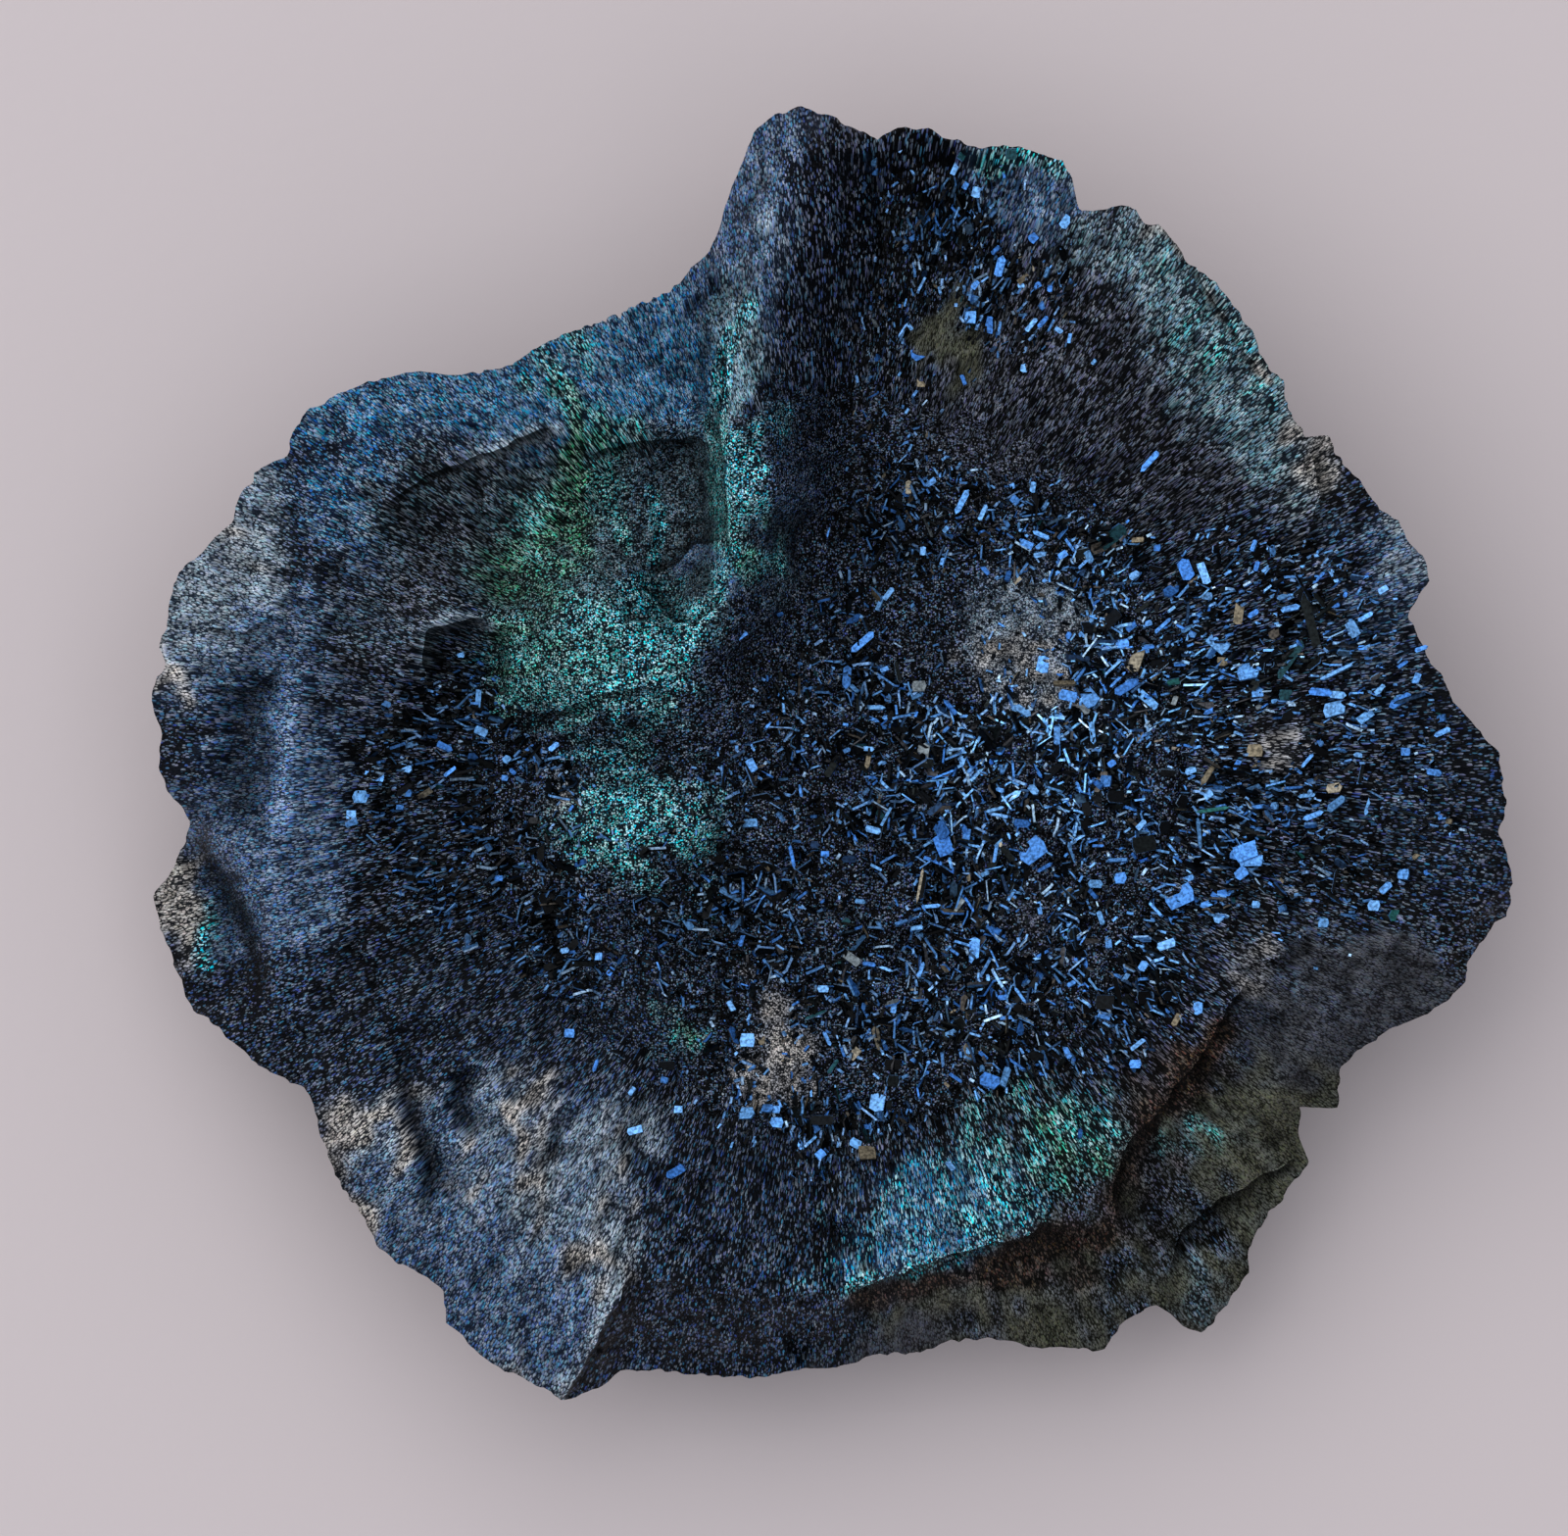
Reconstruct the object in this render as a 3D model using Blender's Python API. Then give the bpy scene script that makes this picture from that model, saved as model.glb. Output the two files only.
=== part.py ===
"""Covellite specimen: a slab of massive ore with a ridge and a hollow lined with tabular crystals.

The specimen lies on its broken back. +Z points out of the crystal face, +Y runs towards the peak of
the ridge, and +X to the right of the face. The origin is under the middle of the outline, on the
plane that the specimen rests on. Places on the face are named in pixels of the photograph, and
heights in millimetres above the resting plane.
"""

import math

import bpy
import numpy as np
from mathutils.geometry import delaunay_2d_cdt

# Driving dimensions, in metres
SPECIMEN_WIDTH = 0.0907
FACE_FACET = 0.0019
CRUST_FACET = 0.0019
RECESS_FACET = 0.0034
BACK_FACET = 0.0046
CRUST_THICKNESS = 0.0019
FIT_GAP = 0.0003
WALL_RUN = 0.0003
MIN_THICKNESS = 0.0034
LINE_STEP = 0.0018
BEND = 0.0006

# The middle of the outline in the photograph, and its left and right ends
OUTLINE_CENTRE_PX = (850.0, 770.0)
OUTLINE_LEFT_PX = 153.0
OUTLINE_RIGHT_PX = 1546.0
PIXEL = SPECIMEN_WIDTH / (OUTLINE_RIGHT_PX - OUTLINE_LEFT_PX)
MM = 0.001

# The broken edge of the face, clockwise from the peak: pixel across, pixel down, height in mm
RIM = [
    (817, 109, 31.0), (843, 118, 29.5), (866, 130, 28.0), (885, 139, 26.0), (899, 143, 25.0),
    (902, 134, 25.0), (922, 129, 25.0), (947, 133, 25.0), (972, 143, 25.5), (993, 151, 26.0),
    (1036, 148, 27.0), (1073, 160, 28.0), (1087, 164, 28.0), (1095, 190, 28.0), (1101, 217, 27.8),
    (1113, 214, 28.0), (1127, 216, 28.0), (1139, 209, 28.0), (1160, 212, 28.2), (1164, 225, 28.4),
    (1180, 229, 28.6), (1199, 247, 29.0), (1207, 263, 29.0), (1241, 289, 29.0), (1264, 319, 29.0),
    (1279, 340, 28.8), (1286, 362, 28.6), (1299, 378, 28.4), (1311, 388, 28.2), (1313, 414, 28.0),
    (1321, 425, 28.0), (1332, 449, 27.6), (1340, 445, 27.0), (1357, 445, 26.8), (1362, 460, 27.0),
    (1392, 494, 27.4), (1406, 516, 27.2), (1426, 532, 27.0), (1440, 554, 27.0), (1456, 572, 26.8),
    (1456, 592, 26.4), (1447, 607, 26.0), (1436, 631, 25.6), (1449, 648, 25.8), (1463, 680, 25.8),
    (1473, 687, 25.6), (1483, 715, 25.4), (1512, 749, 25.0), (1527, 768, 24.6), (1536, 797, 24.2),
    (1533, 850, 23.0), (1544, 898, 21.0), (1546, 922, 19.0), (1538, 936, 17.6), (1526, 944, 17.4),
    (1509, 969, 17.0), (1499, 988, 16.8), (1499, 1003, 16.4), (1482, 1021, 16.0), (1449, 1042, 15.6),
    (1427, 1049, 15.4), (1400, 1067, 15.2), (1371, 1090, 14.8), (1373, 1103, 14.0), (1367, 1131, 13.2),
    (1332, 1133, 12.8), (1326, 1161, 12.0), (1338, 1191, 11.6), (1331, 1204, 11.4), (1307, 1231, 11.2),
    (1288, 1257, 11.0), (1276, 1279, 10.8), (1277, 1304, 10.6), (1259, 1324, 10.4), (1251, 1341, 10.2),
    (1229, 1363, 9.8), (1213, 1359, 9.8), (1200, 1344, 10.2), (1183, 1334, 10.8), (1149, 1353, 11.0),
    (1128, 1380, 10.8), (1080, 1379, 11.2), (1032, 1372, 11.6), (984, 1369, 11.8), (962, 1373, 11.8),
    (938, 1386, 11.6), (898, 1384, 11.8), (864, 1397, 12.0), (808, 1403, 12.2), (774, 1410, 12.2),
    (710, 1405, 12.6), (668, 1401, 13.0), (629, 1399, 14.0), (619, 1413, 15.0), (605, 1423, 16.6),
    (573, 1431, 18.6), (549, 1416, 18.8), (510, 1395, 18.8), (486, 1379, 18.8), (456, 1350, 18.6),
    (450, 1318, 18.4), (428, 1301, 18.2), (384, 1273, 18.0), (370, 1245, 18.0), (343, 1204, 17.8),
    (330, 1169, 17.6), (322, 1150, 17.6), (317, 1125, 17.6), (311, 1113, 17.6), (271, 1095, 17.0),
    (237, 1069, 16.4), (210, 1039, 15.6), (193, 1032, 13.0), (183, 1013, 12.6), (170, 973, 12.4),
    (155, 931, 12.4), (154, 912, 12.6), (171, 896, 13.0), (187, 859, 13.4), (193, 840, 15.8),
    (183, 824, 18.0), (170, 805, 19.4), (163, 787, 20.0), (163, 747, 20.4), (153, 715, 20.6),
    (157, 696, 20.8), (166, 677, 21.0), (161, 662, 21.0), (169, 627, 21.2), (181, 585, 21.6),
    (207, 560, 22.0), (231, 536, 22.2), (247, 501, 22.6), (266, 476, 23.0), (291, 467, 23.0),
    (298, 443, 23.2), (311, 421, 23.6), (343, 401, 24.0), (386, 388, 24.2), (421, 376, 24.4),
    (461, 382, 24.6), (517, 373, 24.6), (551, 352, 24.8), (600, 331, 24.8), (640, 316, 25.0),
    (675, 302, 25.0), (691, 288, 25.0), (715, 266, 25.4), (723, 259, 26.0), (734, 234, 27.0),
    (749, 189, 28.2), (763, 148, 29.2), (774, 130, 29.8), (794, 120, 30.4),
]

# Lines of the relief, each a run of pixel across, pixel down, height in mm
LINES = {
    "ridge crest": [
        (812, 150, 32.4), (803, 200, 33.0), (790, 255, 32.6), (775, 310, 31.8), (758, 355, 31.0),
        (744, 400, 30.4), (741, 450, 29.8), (743, 500, 29.4), (746, 545, 29.0), (738, 595, 28.2),
        (706, 643, 27.2), (668, 664, 26.4), (640, 640, 25.8), (610, 600, 25.0),
    ],
    "ridge foot, rim side": [
        (733, 300, 26.0), (722, 345, 25.2), (718, 400, 24.6), (724, 440, 24.0), (722, 480, 22.6),
        (722, 530, 21.4), (712, 575, 21.6), (690, 612, 22.2), (662, 606, 22.4),
    ],
    "ridge foot, hollow side": [
        (868, 175, 25.0), (882, 240, 22.4), (868, 310, 21.8), (850, 380, 21.4), (842, 440, 20.8),
        (838, 500, 19.6), (820, 545, 18.6), (822, 590, 19.0), (790, 640, 21.0), (745, 690, 23.2),
    ],
    "knob": [(778, 452, 29.6), (794, 480, 29.4), (800, 505, 28.6)],
    "below the knob": [(796, 532, 22.6), (776, 545, 26.0)],
    "gully": [(916, 172, 21.4), (922, 230, 20.2), (918, 300, 19.8), (925, 360, 19.8)],
    "rim band edge, upper": [
        (336, 612, 22.6), (352, 566, 23.0), (390, 520, 23.8), (438, 492, 24.2), (470, 468, 24.4),
        (540, 447, 24.6), (600, 436, 24.6), (660, 432, 24.6), (704, 432, 24.6),
    ],
    "rim band edge, foot": [
        (370, 628, 21.4), (384, 590, 21.6), (416, 548, 21.8), (456, 520, 22.0), (490, 500, 22.0),
        (545, 484, 22.0), (600, 474, 22.0), (660, 470, 22.0), (704, 472, 22.0),
    ],
    "saucer floor": [
        (470, 590, 20.8), (520, 600, 20.4), (560, 540, 20.8), (640, 530, 21.0), (690, 540, 21.0),
    ],
    "saddle top": [(600, 640, 25.2), (632, 668, 25.8), (672, 700, 25.4), (700, 730, 23.8)],
    "green slope": [(540, 640, 22.4), (566, 690, 23.4), (604, 716, 23.8), (640, 738, 23.4)],
    "saddle foot": [(530, 706, 20.2), (568, 748, 20.0), (620, 768, 20.4), (680, 770, 21.0)],
    "lower saddle": [(575, 868, 21.2), (630, 842, 22.6), (684, 826, 22.8), (720, 850, 21.6)],
    "pocket cliff, top": [(420, 664, 21.8), (436, 642, 22.0), (470, 632, 22.0), (500, 634, 21.6)],
    "pocket cliff, foot": [(440, 676, 18.8), (454, 660, 18.6), (476, 652, 18.6), (500, 654, 18.8)],
    "pocket floor": [(455, 700, 18.2), (490, 780, 18.2), (440, 850, 18.6), (520, 880, 19.0)],
    "pocket left side": [(352, 700, 20.6), (340, 780, 20.6), (350, 860, 20.4), (390, 940, 20.2)],
    "black groove": [(735, 880, 18.4), (728, 950, 17.2), (722, 1040, 17.4), (735, 1080, 18.2)],
    "left apron": [(250, 560, 22.6), (225, 640, 22.2), (205, 720, 21.6), (215, 790, 20.8)],
    "left hollow": [(262, 690, 20.6), (250, 750, 19.8), (236, 810, 19.6)],
    "left swell": [(290, 650, 22.2), (300, 740, 21.8), (290, 840, 21.6), (280, 930, 21.0)],
    "left crack, outer lip": [(204, 866, 13.8), (218, 905, 13.8), (240, 945, 14.0), (232, 1000, 14.4)],
    "left crack, inner lip": [(216, 850, 19.0), (236, 890, 19.0), (262, 940, 18.8), (262, 1000, 18.0)],
    "left ledge": [(180, 900, 13.6), (185, 960, 13.4), (210, 990, 13.8)],
    "lower left slope": [(320, 1000, 19.6), (420, 1020, 19.2), (520, 1040, 19.6), (620, 1060, 20.4)],
    "lobes, top": [(350, 1170, 19.6), (395, 1140, 20.4), (412, 1150, 20.6), (425, 1185, 20.4)],
    "first crease": [(430, 1128, 19.2), (446, 1180, 18.2), (444, 1230, 19.0)],
    "second crease": [(468, 1106, 19.6), (482, 1140, 19.0)],
    "lobe between the creases": [(456, 1152, 20.4), (470, 1180, 20.6), (476, 1230, 20.2)],
    "lobe right of the creases": [(506, 1128, 20.8), (510, 1170, 21.2), (520, 1230, 21.0)],
    "pale shelf": [(540, 1180, 21.4), (600, 1240, 21.8), (630, 1290, 21.8), (680, 1230, 21.2)],
    "bottom nose": [(500, 1300, 20.2), (560, 1360, 20.0), (585, 1400, 19.4)],
    "bottom facet, lip": [
        (601, 1396, 18.8), (616, 1360, 20.0), (640, 1318, 21.0), (690, 1306, 20.4), (760, 1330, 18.8),
        (820, 1322, 18.0), (856, 1314, 17.6),
    ],
    "bottom facet, foot": [(640, 1372, 15.4), (720, 1380, 14.2), (790, 1384, 13.6)],
    "lower fissure": [(852, 1235, 17.4), (856, 1280, 16.8), (874, 1330, 14.4), (900, 1356, 13.0)],
    "green shelf, lip": [
        (884, 1306, 18.2), (940, 1290, 18.4), (1000, 1268, 18.6), (1060, 1240, 18.6), (1120, 1208, 18.2),
        (1150, 1160, 17.8), (1190, 1115, 17.6), (1235, 1060, 17.8), (1262, 1010, 18.2),
    ],
    "green shelf, foot": [
        (900, 1340, 14.8), (955, 1326, 15.2), (1020, 1304, 15.4), (1080, 1278, 15.0), (1150, 1242, 14.0),
        (1182, 1186, 14.2), (1222, 1140, 14.8), (1262, 1084, 15.8), (1296, 1024, 17.0),
    ],
    "shelf back": [(900, 1200, 18.2), (980, 1180, 18.0), (1060, 1130, 18.2), (1130, 1120, 17.8)],
    "lower ledge crest": [
        (1206, 1196, 14.4), (1236, 1174, 14.8), (1280, 1148, 14.8), (1330, 1112, 14.8), (1366, 1094, 14.8),
    ],
    "lower ledge hollow": [(1170, 1300, 11.6), (1206, 1256, 11.6), (1240, 1236, 12.0), (1290, 1196, 12.6)],
    "lower ledge swell": [(960, 1346, 13.2), (1040, 1340, 13.4), (1110, 1310, 13.2), (1140, 1340, 12.2)],
    "spike": [(1245, 1290, 12.2), (1232, 1330, 11.4)],
    "grey slope": [(1290, 1080, 16.4), (1340, 1040, 17.0), (1400, 1000, 18.2), (1440, 1000, 17.8)],
    "right facet, lip": [(1540, 902, 20.8), (1500, 930, 20.0), (1480, 960, 19.2), (1450, 1000, 18.0)],
    "right slope": [(1500, 840, 23.0), (1470, 880, 21.8), (1430, 930, 20.0), (1360, 960, 18.6)],
    "right rim": [(1400, 560, 26.0), (1410, 630, 24.6), (1440, 700, 24.4), (1490, 780, 24.2)],
    "upper right slope": [
        (1130, 250, 27.2), (1190, 300, 27.6), (1240, 370, 27.6), (1280, 440, 27.0), (1330, 500, 26.4),
    ],
    "upper right foot": [(960, 430, 19.6), (1040, 470, 19.8), (1120, 500, 20.4), (1220, 540, 21.4)],
    "upper right middle": [(1060, 380, 22.6), (1140, 400, 24.0), (1220, 470, 24.4), (1300, 560, 23.4)],
    "gully right side": [(965, 170, 22.6), (1030, 200, 25.0), (1070, 260, 25.6), (1080, 320, 24.6)],
    "gully right foot": [(955, 230, 20.6), (975, 290, 20.8), (1010, 350, 21.0)],
    "pale lump": [(958, 330, 22.4), (970, 360, 22.6)],
    "hollow floor": [
        (900, 450, 18.8), (920, 560, 17.6), (1000, 580, 17.8), (1100, 600, 17.6), (1200, 660, 17.6),
        (1290, 720, 18.6), (1370, 740, 20.6),
    ],
    "hollow middle": [
        (880, 660, 17.6), (960, 720, 17.0), (1060, 780, 16.6), (1160, 840, 16.0), (1260, 860, 16.8),
        (1360, 860, 18.6),
    ],
    "hollow lower part": [
        (840, 860, 18.2), (920, 920, 16.8), (1010, 960, 16.2), (1110, 980, 15.8), (1200, 980, 16.2),
    ],
    "hollow foot": [(850, 1000, 17.8), (950, 1070, 16.8), (1060, 1060, 16.6), (1140, 1060, 16.6)],
    "hollow tail": [(800, 1150, 17.2), (850, 1170, 16.6), (890, 1150, 17.2)],
    "sandy lump": [(790, 1070, 19.2), (810, 1100, 19.2)],
    "hump to hollow": [(800, 740, 20.6), (790, 820, 19.8), (780, 900, 19.2)],
}

# The edge of the crystal crust in the hollow, clockwise from the top of the gully
CRUST_EDGE = [
    (902, 176), (960, 160), (1040, 182), (1086, 240), (1098, 306), (1064, 352), (1010, 372), (968, 404),
    (962, 452), (1010, 486), (1100, 508), (1200, 530), (1290, 545), (1366, 556), (1412, 604),
    (1440, 676), (1484, 752), (1492, 830), (1462, 900), (1400, 948), (1330, 976), (1262, 984),
    (1226, 1040), (1160, 1096), (1080, 1108), (1000, 1128), (930, 1168), (870, 1212), (800, 1206),
    (740, 1156), (690, 1090), (610, 1040), (500, 990), (420, 930), (366, 850), (360, 770), (396, 706),
    (452, 676), (506, 690), (540, 742), (600, 784), (690, 788), (748, 752), (790, 690), (834, 640),
    (856, 560), (864, 450), (872, 350), (892, 260),
]

# The largest tabular crystals of the crust: pixel across, pixel down, direction of the long side in
# degrees, length and breadth in pixels, and lean in degrees (0 lies flat, 90 stands on its edge)
CRYSTALS = [
    (880, 654, 40, 30, 20, 68), (938, 700, 30, 24, 16, 24), (947, 492, 30, 24, 14, 30),
    (981, 515, 60, 30, 16, 60), (1050, 552, -20, 26, 16, 32), (1112, 568, -55, 22, 16, 34),
    (1134, 546, 60, 38, 28, 40), (1160, 586, 40, 24, 18, 30), (1204, 590, -62, 44, 26, 22),
    (1228, 586, -65, 32, 20, 50), (1212, 626, 80, 32, 20, 66), (1132, 634, 52, 38, 22, 58),
    (1096, 668, -10, 42, 22, 52), (1066, 680, 80, 26, 20, 20), (1092, 694, 15, 32, 20, 60),
    (1106, 712, -35, 38, 24, 20), (1152, 694, 38, 36, 20, 56), (1176, 712, -42, 32, 20, 34),
    (1226, 670, -20, 50, 34, 28), (1246, 662, -45, 38, 20, 48), (1336, 632, -72, 66, 26, 52),
    (1346, 586, 45, 40, 22, 62), (1310, 642, 10, 32, 22, 34), (1263, 626, 80, 34, 20, 36),
    (1314, 678, 52, 56, 26, 48), (1294, 672, 74, 40, 22, 62), (1273, 690, 10, 30, 26, 22),
    (1376, 642, -60, 26, 18, 30), (1361, 684, 28, 42, 22, 66), (1350, 707, -8, 44, 22, 56),
    (1424, 716, 22, 38, 20, 62), (1313, 834, 86, 36, 20, 40), (1272, 876, 25, 42, 30, 24),
    (1356, 821, 30, 54, 24, 50), (1326, 721, 32, 38, 24, 46), (1426, 826, -12, 50, 22, 60),
    (1054, 870, 50, 46, 34, 22), (1044, 841, 5, 28, 18, 40), (1018, 832, 15, 34, 22, 54),
    (1203, 911, 15, 44, 30, 22), (1130, 798, -30, 32, 22, 30), (1142, 812, 0, 30, 20, 26),
    (1078, 750, 85, 28, 18, 56), (1115, 744, -88, 28, 18, 60), (1236, 786, 55, 34, 20, 48),
    (1223, 852, -83, 42, 22, 66), (1240, 827, 12, 38, 20, 64), (1170, 860, 5, 38, 26, 26),
    (960, 852, -72, 44, 26, 24), (941, 903, 78, 42, 22, 66), (973, 910, -88, 32, 20, 52),
    (934, 937, 15, 36, 20, 36), (942, 772, 70, 34, 20, 38), (984, 774, 65, 32, 18, 52),
    (764, 1061, 85, 26, 22, 22), (895, 1124, 80, 26, 24, 20), (884, 1176, -50, 36, 24, 28),
    (784, 1138, 20, 34, 24, 26), (836, 1144, 5, 36, 24, 34), (1018, 1092, 40, 32, 26, 24),
    (1190, 962, 15, 32, 20, 24), (1104, 981, 10, 30, 22, 30), (1142, 1016, -70, 34, 20, 60),
    (1170, 1022, 5, 34, 24, 32), (1044, 1028, -72, 38, 20, 68), (1014, 926, -40, 30, 20, 50),
    (380, 788, -15, 30, 20, 28), (452, 764, -28, 26, 18, 40), (488, 716, 80, 26, 18, 44),
    (1022, 268, 78, 32, 18, 44), (988, 324, 60, 26, 20, 34), (938, 362, 70, 24, 20, 28),
]

# All crystals are hexagons of one thickness, with this share of the breadth taken by the pointed ends
PLATE_THICKNESS = 0.00045
PLATE_POINT = 0.28
# How much of a plate's leaning breadth, and how much of a flat plate, the crust covers
PLATE_RISE = 0.22
PLATE_BURY = 0.00005
# Smaller crystals that fill in between the large ones
FILL_COUNT = 30
FILL_TRIES = 900
FILL_LENGTH = (0.0013, 0.0021)
FILL_LEAN = (35, 80)
FILL_BREADTH = 0.7
FILL_APART = 0.0029

# The flat that the specimen rests on and the broken slopes round it:
# direction in degrees, distance of the flat's edge from the middle in mm, rise per mm
BACK_SLOPES = [
    (-8, 22.0, 0.42), (38, 24.0, 0.52), (84, 20.0, 0.46), (129, 20.5, 0.44), (176, 20.5, 0.33),
    (216, 19.0, 0.36), (262, 20.5, 0.28), (312, 22.0, 0.22),
]


def place(px, py):
    """Turn a pixel of the photograph into metres across and up the face."""
    return np.array([(px - OUTLINE_CENTRE_PX[0]) * PIXEL, (OUTLINE_CENTRE_PX[1] - py) * PIXEL])


def along(points, spacing, closed=False):
    """Points every `spacing` along straight runs through `points`, with their corners kept."""
    ends = np.vstack([points, points[:1]]) if closed else points
    out = []
    for start, end in zip(ends[:-1], ends[1:]):
        steps = max(1, round(np.linalg.norm(end[:2] - start[:2]) / spacing))
        for step in range(steps):
            out.append(start + (end - start) * step / steps)
    if not closed:
        out.append(ends[-1])
    return np.array(out)


def smooth_loop(points, spacing):
    """A closed Catmull-Rom curve through `points`, sampled about every `spacing`."""
    out = []
    count = len(points)
    for index in range(count):
        before, start, end, after = (points[(index + k) % count] for k in (-1, 0, 1, 2))
        steps = max(1, round(np.linalg.norm(end - start) / spacing))
        for step in range(steps):
            t = step / steps
            out.append(0.5 * (2 * start + (end - before) * t
                              + (2 * before - 5 * start + 4 * end - after) * t ** 2
                              + (3 * start - before - 3 * end + after) * t ** 3))
    return np.array(out)


def noise(x, y, size, seed):
    """Smooth noise between -1 and 1: hashed values on a square lattice, blended with a soft step."""
    u, v = x / size, y / size
    iu, iv = np.floor(u), np.floor(v)
    fu, fv = u - iu, v - iv
    su, sv = fu * fu * (3 - 2 * fu), fv * fv * (3 - 2 * fv)

    def value(du, dv):
        wave = np.sin((iu + du) * 127.1 + (iv + dv) * 311.7 + seed * 74.7) * 43758.5453
        return 2 * (wave - np.floor(wave)) - 1

    low = value(0, 0) * (1 - su) + value(1, 0) * su
    high = value(0, 1) * (1 - su) + value(1, 1) * su
    return low * (1 - sv) + high * sv


def survey():
    """All points with a known height on the face: the rim and the lines of the relief."""
    runs = [np.array([(*place(px, py), height * MM) for px, py, height in RIM])]
    for line in LINES.values():
        points = np.array([(*place(px, py), height * MM) for px, py, height in line])
        runs.append(along(points, LINE_STEP))
    return np.vstack(runs)


class Relief:
    """The face as a taut sheet over the surveyed points.

    The height is a constant plus a sum of hyperbolic cones sqrt(r^2 + BEND^2), one for each known
    point, with weights that make the sheet pass through every one of them.
    """

    def __init__(self):
        self.known = survey()
        count = len(self.known)
        table = np.ones((count + 1, count + 1))
        table[:count, :count] = self.cones(self.known[:, 0], self.known[:, 1])
        table[count, count] = 0.0
        self.weights = np.linalg.solve(table, np.append(self.known[:, 2], 0.0))

    def cones(self, x, y):
        across = x[:, None] - self.known[None, :, 0]
        up = y[:, None] - self.known[None, :, 1]
        return np.sqrt(across ** 2 + up ** 2 + BEND ** 2)

    def __call__(self, x, y):
        sheet = self.cones(x, y) @ self.weights[:-1] + self.weights[-1]
        return sheet + lumps(x, y)


def lumps(x, y):
    """Knobbly fracture: two sizes of rounded lumps."""
    return 0.00030 * noise(x, y, 0.0052, 3) + 0.00018 * noise(x, y, 0.0024, 8)


def back_height(x, y):
    """The underside: the highest of the broken slopes, or the flat where all are below it."""
    rises = []
    for direction, distance, rise in BACK_SLOPES:
        angle = math.radians(direction)
        rises.append(rise * (x * math.cos(angle) + y * math.sin(angle) - distance * MM))
    slope = np.max(rises, axis=0)
    rough = 0.0005 * noise(x, y, 0.006, 21) + 0.0003 * noise(x, y, 0.003, 22)
    return np.where(slope > 0, np.maximum(slope + rough * np.minimum(slope / 0.002, 1), 0), 0)


def push_in(loop, distance):
    """Move a loop's points towards the middle of the specimen by `distance`."""
    radius = np.linalg.norm(loop, axis=1)
    return loop * (1 - distance / radius)[:, None]


def shrink(loop, distance):
    """Move a clockwise loop's points inward along the loop's own normals."""
    tangent = np.roll(loop, -1, axis=0) - np.roll(loop, 1, axis=0)
    tangent /= np.linalg.norm(tangent, axis=1)[:, None]
    return loop + distance * np.column_stack([tangent[:, 1], -tangent[:, 0]])


def rim_loop():
    """The outline of the face, with small chips along its straight runs."""
    corners = np.array([place(px, py) for px, py, height in RIM])
    loop = along(corners, FACE_FACET, closed=True)
    chip = 0.00016 * (1 + noise(loop[:, 0], loop[:, 1], 0.0017, 31))
    return push_in(loop, chip)


def inside(points, loop):
    """Even-odd test of points against a closed loop."""
    result = np.zeros(len(points), bool)
    for start, end in zip(loop, np.roll(loop, -1, axis=0)):
        if start[1] == end[1]:
            continue
        crosses = (start[1] > points[:, 1]) != (end[1] > points[:, 1])
        at = (end[0] - start[0]) * (points[:, 1] - start[1]) / (end[1] - start[1]) + start[0]
        result ^= crosses & (points[:, 0] < at)
    return result


def apart(points, fixed, distance):
    """The points that keep `distance` from all fixed ones and from those already kept."""
    kept = []
    taken = np.array(fixed)
    for point in points:
        if np.min(np.sum((taken - point) ** 2, axis=1)) > distance ** 2:
            kept.append(point)
            taken = np.vstack([taken, point])
    return np.array(kept).reshape(-1, 2)


def scatter(spacing, seed):
    """A slightly shaken triangular lattice over the whole face."""
    random = np.random.RandomState(seed)
    half = SPECIMEN_WIDTH / 2
    rows = np.arange(-half, half, spacing * math.sqrt(3) / 2)
    points = []
    for index, row in enumerate(rows):
        shift = spacing / 2 * (index % 2)
        points += [(column + shift, row) for column in np.arange(-half, half, spacing)]
    return np.array(points) + random.uniform(-0.14, 0.14, (len(points), 2)) * spacing


def line_points():
    """Points along all lines of the relief, so that triangle edges follow them."""
    runs = []
    for line in LINES.values():
        runs.append(along(np.array([place(px, py) for px, py, height in line]), FACE_FACET))
    return np.vstack(runs)


def triangulate(loops, free):
    """Constrained Delaunay triangles of closed loops and free points, inside the first loop."""
    points = np.vstack([*loops, free])
    edges = []
    first = 0
    for loop in loops:
        count = len(loop)
        edges += [(first + k, first + (k + 1) % count) for k in range(count)]
        first += count
    spots, _, faces, sources, _, _ = delaunay_2d_cdt(
        [tuple(point) for point in points / MM], edges, [], 1, 1e-6, True)
    if len(spots) != len(points) or any(source != [k] for k, source in enumerate(sources)):
        raise RuntimeError("loops touch or cross")
    triangles = np.array(faces)
    triangles = triangles[inside(points[triangles].mean(axis=1), loops[0])]
    return points, counter_clockwise(points, triangles)


def counter_clockwise(points, triangles):
    """Turn round the triangles that run clockwise seen from above."""
    a, b, c = (points[triangles[:, k]] for k in range(3))
    twice = (b[:, 0] - a[:, 0]) * (c[:, 1] - a[:, 1]) - (b[:, 1] - a[:, 1]) * (c[:, 0] - a[:, 0])
    return np.where((twice < 0)[:, None], triangles[:, ::-1], triangles)


def band(upper, lower):
    """Two triangles for each step between two rings of vertex numbers, facing out of a clockwise loop."""
    after_upper, after_lower = np.roll(upper, -1), np.roll(lower, -1)
    return np.vstack([
        np.column_stack([upper, after_upper, lower]),
        np.column_stack([after_upper, after_lower, lower]),
    ])


def crust_loops():
    """The crust's border on the rock, the foot of the recess, and the crust's own outline."""
    border = smooth_loop(np.array([place(px, py) for px, py in CRUST_EDGE]), CRUST_FACET)
    return border, shrink(border, WALL_RUN), shrink(border, WALL_RUN + FIT_GAP)


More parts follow.
